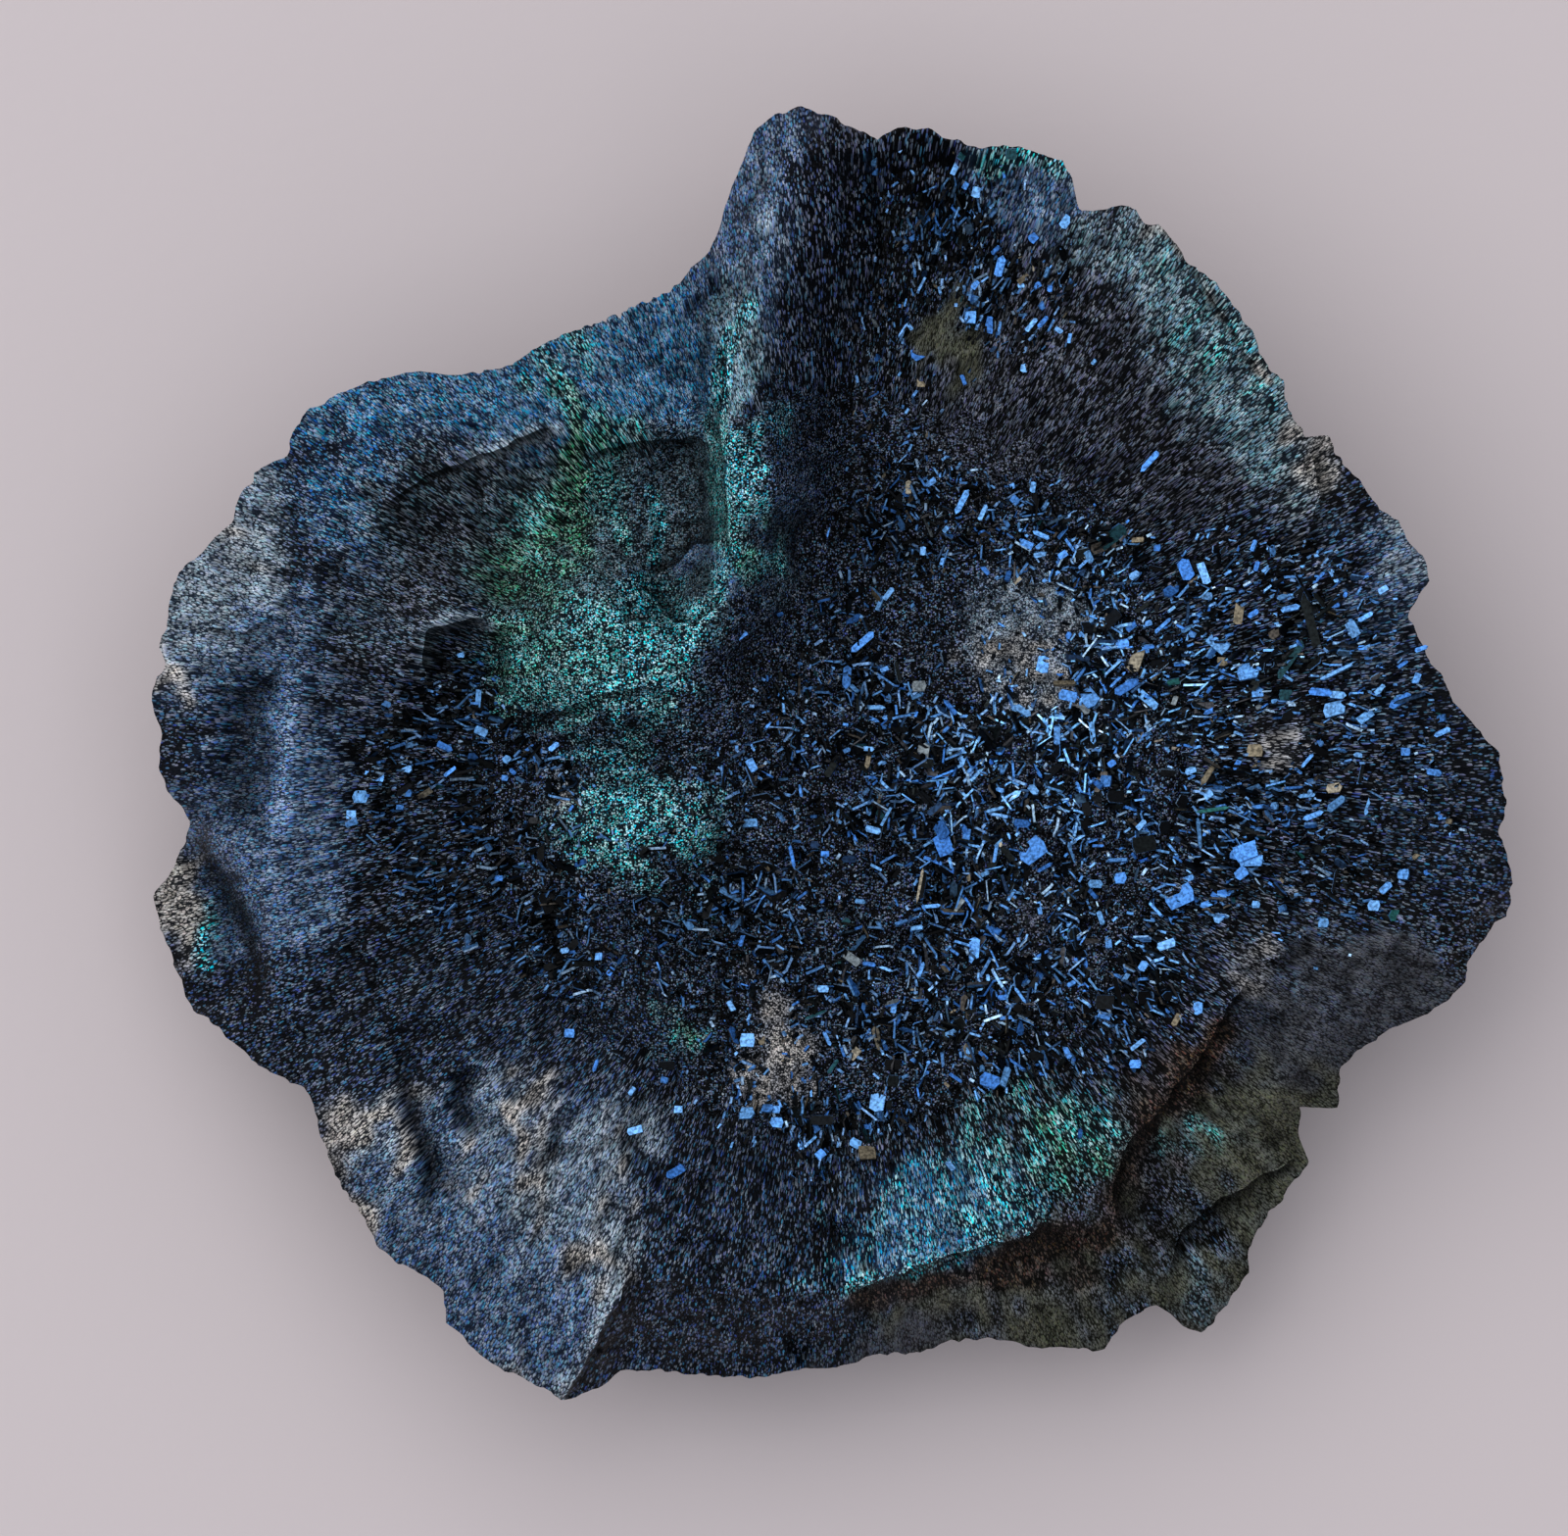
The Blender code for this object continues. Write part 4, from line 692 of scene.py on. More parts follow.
def mesh_piece(name, vertices, faces, material, attributes=None, flat=False):
    """A mesh object from whole arrays: its points, and its faces as a list of index arrays."""
    mesh = bpy.data.meshes.new(name)
    sizes = np.concatenate([np.full(len(part), part.shape[1]) for part in faces])
    corners = np.concatenate([part.ravel() for part in faces])
    mesh.vertices.add(len(vertices))
    mesh.vertices.foreach_set("co", np.asarray(vertices, dtype=np.float32).ravel())
    mesh.loops.add(len(corners))
    mesh.loops.foreach_set("vertex_index", corners.astype(np.int32))
    mesh.polygons.add(len(sizes))
    starts = np.concatenate([[0], np.cumsum(sizes)[:-1]])
    mesh.polygons.foreach_set("loop_start", starts.astype(np.int32))
    mesh.update(calc_edges=True)
    mesh.polygons.foreach_set("use_smooth", np.full(len(sizes), not flat))
    for key, values in (attributes or {}).items():
        domain = "POINT" if len(values) == len(vertices) else "FACE"
        if values.ndim == 1:
            mesh.attributes.new(key, "FLOAT", domain).data.foreach_set("value", values.astype(np.float32))
            continue
        attribute = mesh.attributes.new(key, "FLOAT_COLOR", domain)
        rgba = np.ones((len(values), 4), dtype=np.float32)
        rgba[:, :3] = values
        attribute.data.foreach_set("color", rgba.ravel())
    mesh.materials.append(material)
    mesh.update()
    piece = bpy.data.objects.new(name, mesh)
    bpy.context.scene.collection.objects.link(piece)
    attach(piece, "root")
    return piece


def add(tree, kind, values=None, links=None, **settings):
    """Add a shader node, set its properties and input values, and link its inputs.

    A link comes from an output, or from a node, which stands for its first output.
    """
    node = tree.nodes.new("ShaderNode" + kind)
    for key, value in settings.items():
        setattr(node, key, value)
    for key, value in (values or {}).items():
        node.inputs[key].default_value = value
    for key, source in (links or {}).items():
        tree.links.new(source.outputs[0] if hasattr(source, "outputs") else source, node.inputs[key])
    return node


def new_material(name):
    """A node material with its output only, and that output's surface socket."""
    material = bpy.data.materials.new(name)
    material.use_nodes = True
    tree = material.node_tree
    tree.nodes.clear()
    output = add(tree, "OutputMaterial")
    return material, tree, output.inputs["Surface"]


# The circle that a direction is wound on, how far out the fibres begin and how ragged that border is
FIBRE_WHEEL = 38 * MM
FIBRE_START = 24 * MM
FIBRE_BORDER = 10 * MM
# How far a fibre's pattern moves outwards for each length that the face rises
FIBRE_LEAN = -0.4


def grain_place(tree, spot, shift, settings):
    """Places for a cell pattern: even grit near the middle, and fibres that run outwards beyond it.

    Grit's place is the place over the grit's size. A fibre's place is its direction times a wheel's radius
    over the fibre's width, plus, upwards, its distance from the middle over the fibre's length. Noise makes
    the border ragged, and the broken side and underside have grit all over.
    """
    parts = add(tree, "SeparateXYZ", links={0: spot})
    level = add(tree, "CombineXYZ", links={"X": parts.outputs["X"], "Y": parts.outputs["Y"]})
    reach = add(tree, "VectorMath", links={0: level}, operation="LENGTH")
    heading = add(tree, "VectorMath", links={0: level}, operation="NORMALIZE")
    wheel = add(tree, "VectorMath", {"Scale": FIBRE_WHEEL / settings.fibre_width},
                {0: heading}, operation="SCALE")
    outward = add(tree, "Math", {1: 1 / settings.fibre_length}, {0: reach.outputs["Value"]},
                  operation="MULTIPLY")
    outward = add(tree, "Math", {1: FIBRE_LEAN / settings.fibre_length},
                  {0: parts.outputs["Z"], 2: outward}, operation="MULTIPLY_ADD")
    lift = add(tree, "CombineXYZ", links={"Z": outward})
    fibre = add(tree, "VectorMath", links={0: wheel, 1: lift}, operation="ADD")
    grit = add(tree, "VectorMath", {"Scale": 1 / settings.grit_size}, {0: spot}, operation="SCALE")
    broken = add(tree, "Attribute", attribute_name="broken").outputs["Fac"]
    border = reach.outputs["Value"]
    for source, weight in ((shift, FIBRE_BORDER), (broken, -SIZE_LIMIT)):
        border = add(tree, "Math", {1: weight}, {0: source, 2: border}, operation="MULTIPLY_ADD")
    outer = add(tree, "Math", {1: FIBRE_START + FIBRE_BORDER / 2}, {0: border}, operation="GREATER_THAN")
    mixed = add(tree, "Mix", links={"Factor": outer, 4: grit, 5: fibre}, data_type="VECTOR")
    return mixed.outputs[1]


# Ranges that the shaders map: from low, from high, to low and to high
RANGE_KEYS = ("From Min", "From Max", "To Min", "To Max")
# A ledge's upper edge gets a painted highlight, and its foot painted shade, over these distances from its
# line
LEDGE_LIP_HIGHLIGHT = dict(zip(RANGE_KEYS, (0.0, 0.25 * MM, 0.9, 0.0)))
LEDGE_FOOT_SHADE = dict(zip(RANGE_KEYS, (-1.1 * MM, 0.0, 0.0, -0.85)))
# A grain's chance counts for less where the lit grains cover more
EVENNESS = dict(zip(RANGE_KEYS, (0.45, 0.75, 1.15, 0.5)))
# Few grains glint; the gaps between grains are dark; a grain's level gives its share of the lit colour
GLINT = dict(zip(RANGE_KEYS, (0.92, 0.97, 0.0, 1.3)))
GAP_LEVEL = dict(zip(RANGE_KEYS, (0.46, 0.64, 0.15, -1.6)))
LIT_SHARE = dict(zip(RANGE_KEYS, (0.0, 2.4, 0.0, 2.2)))
# The crystals' film is uneven
FILM = dict(zip(RANGE_KEYS, (0.35, 0.65, 0.45, 1.5)))
# How far a grain's own chance and its patch raise or lower its level, and what its cover adds
CHANCE_SPREAD = 3.6
PATCH_SPREAD = 4.6
COVER_GAIN, COVER_START = 4.0, -1.6
# The grains' hue and saturation differ by these spreads, from these starts
HUE_SPREAD, HUE_START = 0.085, 0.445
RICHNESS_SPREAD, RICHNESS_START = 1.0, 0.4


def ledge_light(tree):
    """A ledge's crisp line: painted highlight along its upper edge, painted shade at the foot, paler away
    from it.
    """
    away = add(tree, "Attribute", attribute_name="ledge").outputs["Fac"]
    depth = add(tree, "Attribute", attribute_name="ledge_depth").outputs["Fac"]
    above = add(tree, "MapRange", LEDGE_LIP_HIGHLIGHT, {"Value": away})
    below = add(tree, "MapRange", LEDGE_FOOT_SHADE, {"Value": away})
    upper = add(tree, "Math", {1: 0.0}, {0: away}, operation="GREATER_THAN")
    effect = add(tree, "Mix", links={"Factor": upper, "A": below, "B": above})
    return add(tree, "Math", {2: 1.0}, {0: effect, 1: depth}, operation="MULTIPLY_ADD")


def ore_material(settings):
    """Massive covellite, broken by hand: a dull metallic mass of short fibres with bright cleavage grit.

    To the eye it is a crisp grain: black gaps, blue-grey fibres that run outwards, and bright flecks that
    carry the tarnish. Towards the middle of the face the fibres give way to even grit. A grain's level adds
    up its own chance, its patch, a rare glint, the ore's cover and the gap round it.
    """
    material, tree, surface = new_material("massive covellite, hand broken")
    gap_tint = add(tree, "Attribute", attribute_name="gap_tint").outputs["Color"]
    lit_tint = add(tree, "Attribute", attribute_name="lit_tint").outputs["Color"]
    cover = add(tree, "Attribute", attribute_name="cover").outputs["Fac"]
    spot = add(tree, "TexCoord").outputs["Object"]
    waver = add(tree, "TexNoise", {"Scale": 1 / (1.6 * MM), "Detail": 3.0}, {"Vector": spot})
    grain = add(tree, "TexVoronoi", {"Scale": 1.0},
                {"Vector": grain_place(tree, spot, waver.outputs["Fac"], settings)})
    mottling = add(tree, "TexNoise", {"Scale": 0.16, "Detail": 3.0, "Roughness": 0.65},
                   {"Vector": grain.outputs["Position"]})
    chance = add(tree, "SeparateColor", links={0: grain.outputs["Color"]})

    own = add(tree, "Math", {1: CHANCE_SPREAD, 2: -CHANCE_SPREAD / 2},
              {0: chance.outputs["Red"]}, operation="MULTIPLY_ADD")
    patch = add(tree, "Math", {1: PATCH_SPREAD, 2: -PATCH_SPREAD / 2},
                {0: mottling.outputs["Fac"]}, operation="MULTIPLY_ADD")
    evenness = add(tree, "MapRange", EVENNESS, {"Value": cover})
    glint = add(tree, "MapRange", GLINT, {"Value": chance.outputs["Blue"]})
    covered = add(tree, "Math", {1: COVER_GAIN, 2: COVER_START}, {0: cover}, operation="MULTIPLY_ADD")
    gaps = add(tree, "MapRange", GAP_LEVEL, {"Value": grain.outputs["Distance"]})
    level = add(tree, "Math", links={0: own, 1: evenness}, operation="MULTIPLY")
    for term in (patch, glint, covered, gaps):
        level = add(tree, "Math", links={0: level, 1: term}, operation="ADD")
    share = add(tree, "MapRange", LIT_SHARE, {"Value": level})

    hue = add(tree, "Math", {1: HUE_SPREAD, 2: HUE_START}, {0: chance.outputs["Green"]},
              operation="MULTIPLY_ADD")
    richness = add(tree, "Math", {1: RICHNESS_SPREAD, 2: RICHNESS_START},
                   {0: chance.outputs["Blue"]}, operation="MULTIPLY_ADD")
    flecks = add(tree, "HueSaturation", links={"Hue": hue, "Color": lit_tint, "Saturation": richness})
    lit = add(tree, "VectorMath", links={0: flecks, "Scale": share}, operation="SCALE")
    colour = add(tree, "VectorMath", links={0: gap_tint, 1: lit}, operation="ADD")
    # Painted highlight and painted shade along the ledges
    colour = add(tree, "VectorMath", links={0: colour, "Scale": ledge_light(tree)}, operation="SCALE")

    relief = chance.outputs["Red"]
    for source, weight in ((grain.outputs["Distance"], -0.9), (mottling.outputs["Fac"], 2.0)):
        relief = add(tree, "Math", {1: weight}, {0: source, 2: relief}, operation="MULTIPLY_ADD")
    bump = add(tree, "Bump", {"Strength": 1.0, "Distance": settings.grain_depth}, {"Height": relief})
    shader = add(tree, "BsdfPrincipled",
                 {"Metallic": 0.3, "Roughness": 0.5, "Specular IOR Level": 0.12},
                 {"Base Color": colour, "Normal": bump})
    tree.links.new(shader.outputs[0], surface)
    return material


def crystal_material(settings):
    """Covellite crystals, grown as thin hexagonal plates: an indigo metal with cleavage as bright as foil.

    Each crystal has a tone from nearly black to pale blue, the bright ones partly a painted glint, and fine
    stripes of stacked sheets.
    """
    material, tree, surface = new_material("covellite crystals, tabular")
    tone = add(tree, "Attribute", attribute_name="tone").outputs["Color"]
    spot = add(tree, "TexCoord").outputs["Object"]
    film = add(tree, "TexNoise", {"Scale": 1 / (0.2 * MM), "Detail": 3.0}, {"Vector": spot})
    shade = add(tree, "MapRange", FILM, {"Value": film.outputs["Fac"]})
    colour = add(tree, "VectorMath", links={0: tone, "Scale": shade}, operation="SCALE")
    sheets = add(tree, "TexNoise", {"Scale": 1 / (0.12 * MM), "Detail": 2.0}, {"Vector": spot})
    bump = add(tree, "Bump", {"Strength": 0.35, "Distance": 0.02 * MM}, {"Height": sheets.outputs["Fac"]})
    shader = add(tree, "BsdfPrincipled",
                 {"Metallic": 0.5, "Roughness": settings.plate_roughness, "Specular IOR Level": 0.15},
                 {"Base Color": colour, "Normal": bump})
    tree.links.new(shader.outputs[0], surface)
    return material


def disc_grid(count):
    """A square grid bent into a disc: each square ring becomes a circle with equal steps of direction."""
    line = np.linspace(-1, 1, count + 1)
    u, v = np.meshgrid(line, line, indexing="ij")
    wide = np.abs(u) >= np.abs(v)
    radius = np.where(wide, u, v)
    share = np.where(wide, v, u) / np.where(radius == 0, 1, radius)
    turn = np.where(wide, math.pi / 4 * share, math.pi / 2 - math.pi / 4 * share)
    x, y = radius * np.cos(turn), radius * np.sin(turn)
    return np.hypot(x, y), np.arctan2(y, x)


def border(count):
    """Numbers of a square grid's border points, counter-clockwise seen from above."""
    line = np.arange(count)
    width = count + 1
    return np.concatenate([
        line * width, count * width + line, (count - line) * width + count, count - line,
    ])


def strip(first, second):
    """Quads between two rings of equal length, facing outwards when the first is above the second."""
    return np.column_stack([first, second, np.roll(second, -1), np.roll(first, -1)])


def halving(first, second):
    """Triangles between a ring and the next one, which has half as many points."""
    even, odd, after = first[0::2], first[1::2], np.roll(first[0::2], -1)
    following = np.roll(second, -1)
    return np.vstack([
        np.column_stack([even, second, odd]),
        np.column_stack([odd, second, following]),
        np.column_stack([odd, following, after]),
    ])


def edge_radius(turn):
    """The outline with the small teeth of a fresh break, all of them inwards."""
    arc = turn * RIM_RADIUS * MM
    rounded = 0.22 * np.abs(noise(arc, 0 * arc, 0.9 * MM, 101))
    square = 0.16 * hashed(np.floor(arc / (0.5 * MM)), 0, 5)
    return SURVEY.radius(turn) + MM * (0.2 - (rounded + square))


# Spans of the grid over which the face's own mean is taken, the strength of the painted shade and
# highlight, and the height at which it is nearly full
CAVITY_SHADE_SPANS = [(2, 0.25, 0.15 * MM), (8, 0.3, 0.6 * MM)]


def painted_cavity_shade(height):
    """Painted shade in troughs and painted highlight on crests: how far the face stands above its own mean
    over each span.
    """
    shade = np.ones(height.shape)
    for reach, strength, drop in CAVITY_SHADE_SPANS:
        mean = height.copy()
        for axis in (0, 1):
            mean = sum(np.roll(mean, step, axis) for step in range(-reach, reach + 1)) / (2 * reach + 1)
        inner = np.zeros(height.shape, dtype=bool)
        inner[reach:-reach, reach:-reach] = True
        shade += np.where(inner, strength * np.tanh((height - mean) / drop), 0)
    return shade


def face_points(count):
    """The face's grid: a disc drawn to the outline, which is evened out inwards and toothed at the rim."""
    radius, turn = disc_grid(count)
    inner = smoothstep(0.55, 1.0, radius)
    smooth = np.interp(turn % (2 * math.pi), *soft_outline())
    across = radius * (smooth * (1 - inner) + edge_radius(turn) * inner)
    x, y = across * np.cos(turn), across * np.sin(turn)
    return np.stack([x, y, ground(x, y)], axis=-1)


# The side's foot lies this far in from the rim, in millimetres, and wavers by this much
FOOT_INSET = 2.6
FOOT_WAVER = 0.8
# How far the side is hollowed between rim and foot, in millimetres, and the bulge that would even it out
SIDE_HOLLOW = 3.6
EVEN_BULGE = 0.55
# The side meets the foot by this power of its share of the way down
FOOT_POWER = 6
# Steps of the underside that halve the number of points, so that its middle isn't crowded
HALVINGS = 2


def side_rings(rim, foot, count):
    """Rings down the broken side, from under the rim to the foot.

    Each lies at its share t of the way down. It draws in along a power of t, bulges by noise and facets in
    the middle of the way, and meets the foot at the end, by a high power of t.
    """
    turn, reach = np.arctan2(rim[:, 1], rim[:, 0]), np.hypot(rim[:, 0], rim[:, 1])
    foot_reach = np.hypot(foot[:, 0], foot[:, 1])
    arc = turn * RIM_RADIUS * MM
    for step in range(1, count + 1):
        t = step / count
        level = rim[:, 2] * (1 - t) + foot[:, 2] * t
        bulge = 0.5 * noise(arc, level, 2.6 * MM, 43) + 0.3 * noise(arc, level, 1.1 * MM, 44)
        bulge = bulge + 0.52 * facets(arc, level, 2.4 * MM, 0.5, 0.4 * MM, 45) / MM
        inset = (FOOT_INSET * t ** 1.6 + (EVEN_BULGE - bulge) * SIDE_HOLLOW * t * (1 - t)) * MM
        end = t ** FOOT_POWER
        across = reach * (1 - end) + foot_reach * end - np.maximum(inset * (1 - end), 0)
        yield t, np.column_stack([across * np.cos(turn), across * np.sin(turn), level])


def under_rings(foot, count):
    """Rings across the underside, from the foot inwards, at the solid's own height and a bit rough."""
    turn, reach = np.arctan2(foot[:, 1], foot[:, 0]), np.hypot(foot[:, 0], foot[:, 1])
    for step in range(1, count + 1):
        if step <= HALVINGS:
            turn, reach = turn[::2], reach[::2]
        across = reach * (1 - step / (count + 1))
        x, y = across * np.cos(turn), across * np.sin(turn)
        z = np.maximum(SURVEY.read(SURVEY.under, x, y), 0)
        rough = 0.25 * MM * noise(x, y, 1.6 * MM, 46) * smoothstep(0, 1.5 * MM, z)
        yield 1.0, np.column_stack([x, y, np.maximum(z + rough, 0)])


def build_ore_skin(settings):
    """The ore's whole surface as one closed mesh: face, broken side and underside."""
    count = settings.face_grid
    face = face_points(count)
    index = np.arange((count + 1) ** 2).reshape(count + 1, count + 1)
    corners = [index[:-1, :-1], index[1:, :-1], index[1:, 1:], index[:-1, 1:]]
    faces = [np.stack(corners, axis=-1).reshape(-1, 4)]
    rings, below = [face.reshape(-1, 3)], [np.zeros((count + 1) ** 2)]

    last, start = border(count), (count + 1) ** 2
    rim = rings[0][last]
    turn = np.arctan2(rim[:, 1], rim[:, 0])
    waver = noise(turn * RIM_RADIUS * MM, 0 * turn, 5 * MM, 42)
    reach = np.hypot(rim[:, 0], rim[:, 1]) - (FOOT_INSET + FOOT_WAVER * waver) * MM
    x, y = reach * np.cos(turn), reach * np.sin(turn)
    foot = np.column_stack([x, y, SURVEY.read(SURVEY.under, x, y)])
    for t, ring in [*side_rings(rim, foot, settings.side_rings), *under_rings(foot, settings.under_rings)]:
        numbers = start + np.arange(len(ring))
        faces.append(strip(last, numbers) if len(last) == len(ring) else halving(last, numbers))
        rings.append(ring)
        below.append(np.full(len(ring), t))
        last, start = numbers, start + len(ring)
    faces.append(np.column_stack([last, np.full(len(last), start), np.roll(last, -1)]))
    points, below = np.vstack([*rings, np.zeros((1, 3))]), np.append(np.concatenate(below), 1.0)
    points = np.clip(points, *(np.array(corner) for corner in CAD_BOX))

    tints = tone_mean(points.shape[:1], face_weights(points[:, 0], points[:, 1]))
    fresh = smoothstep(0.0, 0.35, below)
    for face_tint, break_tint in zip(tints, tone_mean(points.shape[:1], broken_weights(*points.T))):
        face_tint += (fresh[:, None] if face_tint.ndim == 2 else fresh) * (break_tint - face_tint)
    gap, lit, cover = tints
    on_face = len(rings[0])
    # Painted shade and highlight on the face from its troughs, crests, grooves and swells; the broken side
    # and underside are all kept at 0.8 of their tone
    shade = np.full((len(points), 1), 0.8)
    shade[:on_face, 0] = painted_cavity_shade(face[..., 2]).ravel() * groove_shade(*rings[0][:, :2].T)
    ledge, ledge_depth = ledge_signs(points[:, 0], points[:, 1])
    ledge_depth[on_face:] = 0
    piece = mesh_piece("ore_skin", points, faces, ore_material(settings),
                       {"gap_tint": gap * shade, "lit_tint": lit * shade, "cover": cover, "ledge": ledge,
                        "ledge_depth": ledge_depth, "broken": (below > 0).astype(float)})
    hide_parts(ROCK_NODE)
    return piece


def soft_outline():
    """The outline with its teeth and chips evened out, for the grid's inner rings."""
    bins = SURVEY.OUTLINE_BINS
    window = np.hanning(121)
    window /= window.sum()
    ring = np.concatenate([SURVEY.radii[-60:], SURVEY.radii, SURVEY.radii[:60]])
    radii = np.convolve(ring, window, mode="valid")
    steps = np.arange(bins + 1) * 2 * math.pi / bins
    return steps, np.append(radii, radii[0])


# The key light comes from the upper left of the photograph; a crystal face that shines to the camera
# leans half as far towards it
KEY_AZIMUTH = math.radians(135)
KEY_ELEVATION = math.radians(50)
SHINE_LEAN = (math.pi / 2 - KEY_ELEVATION) / 2

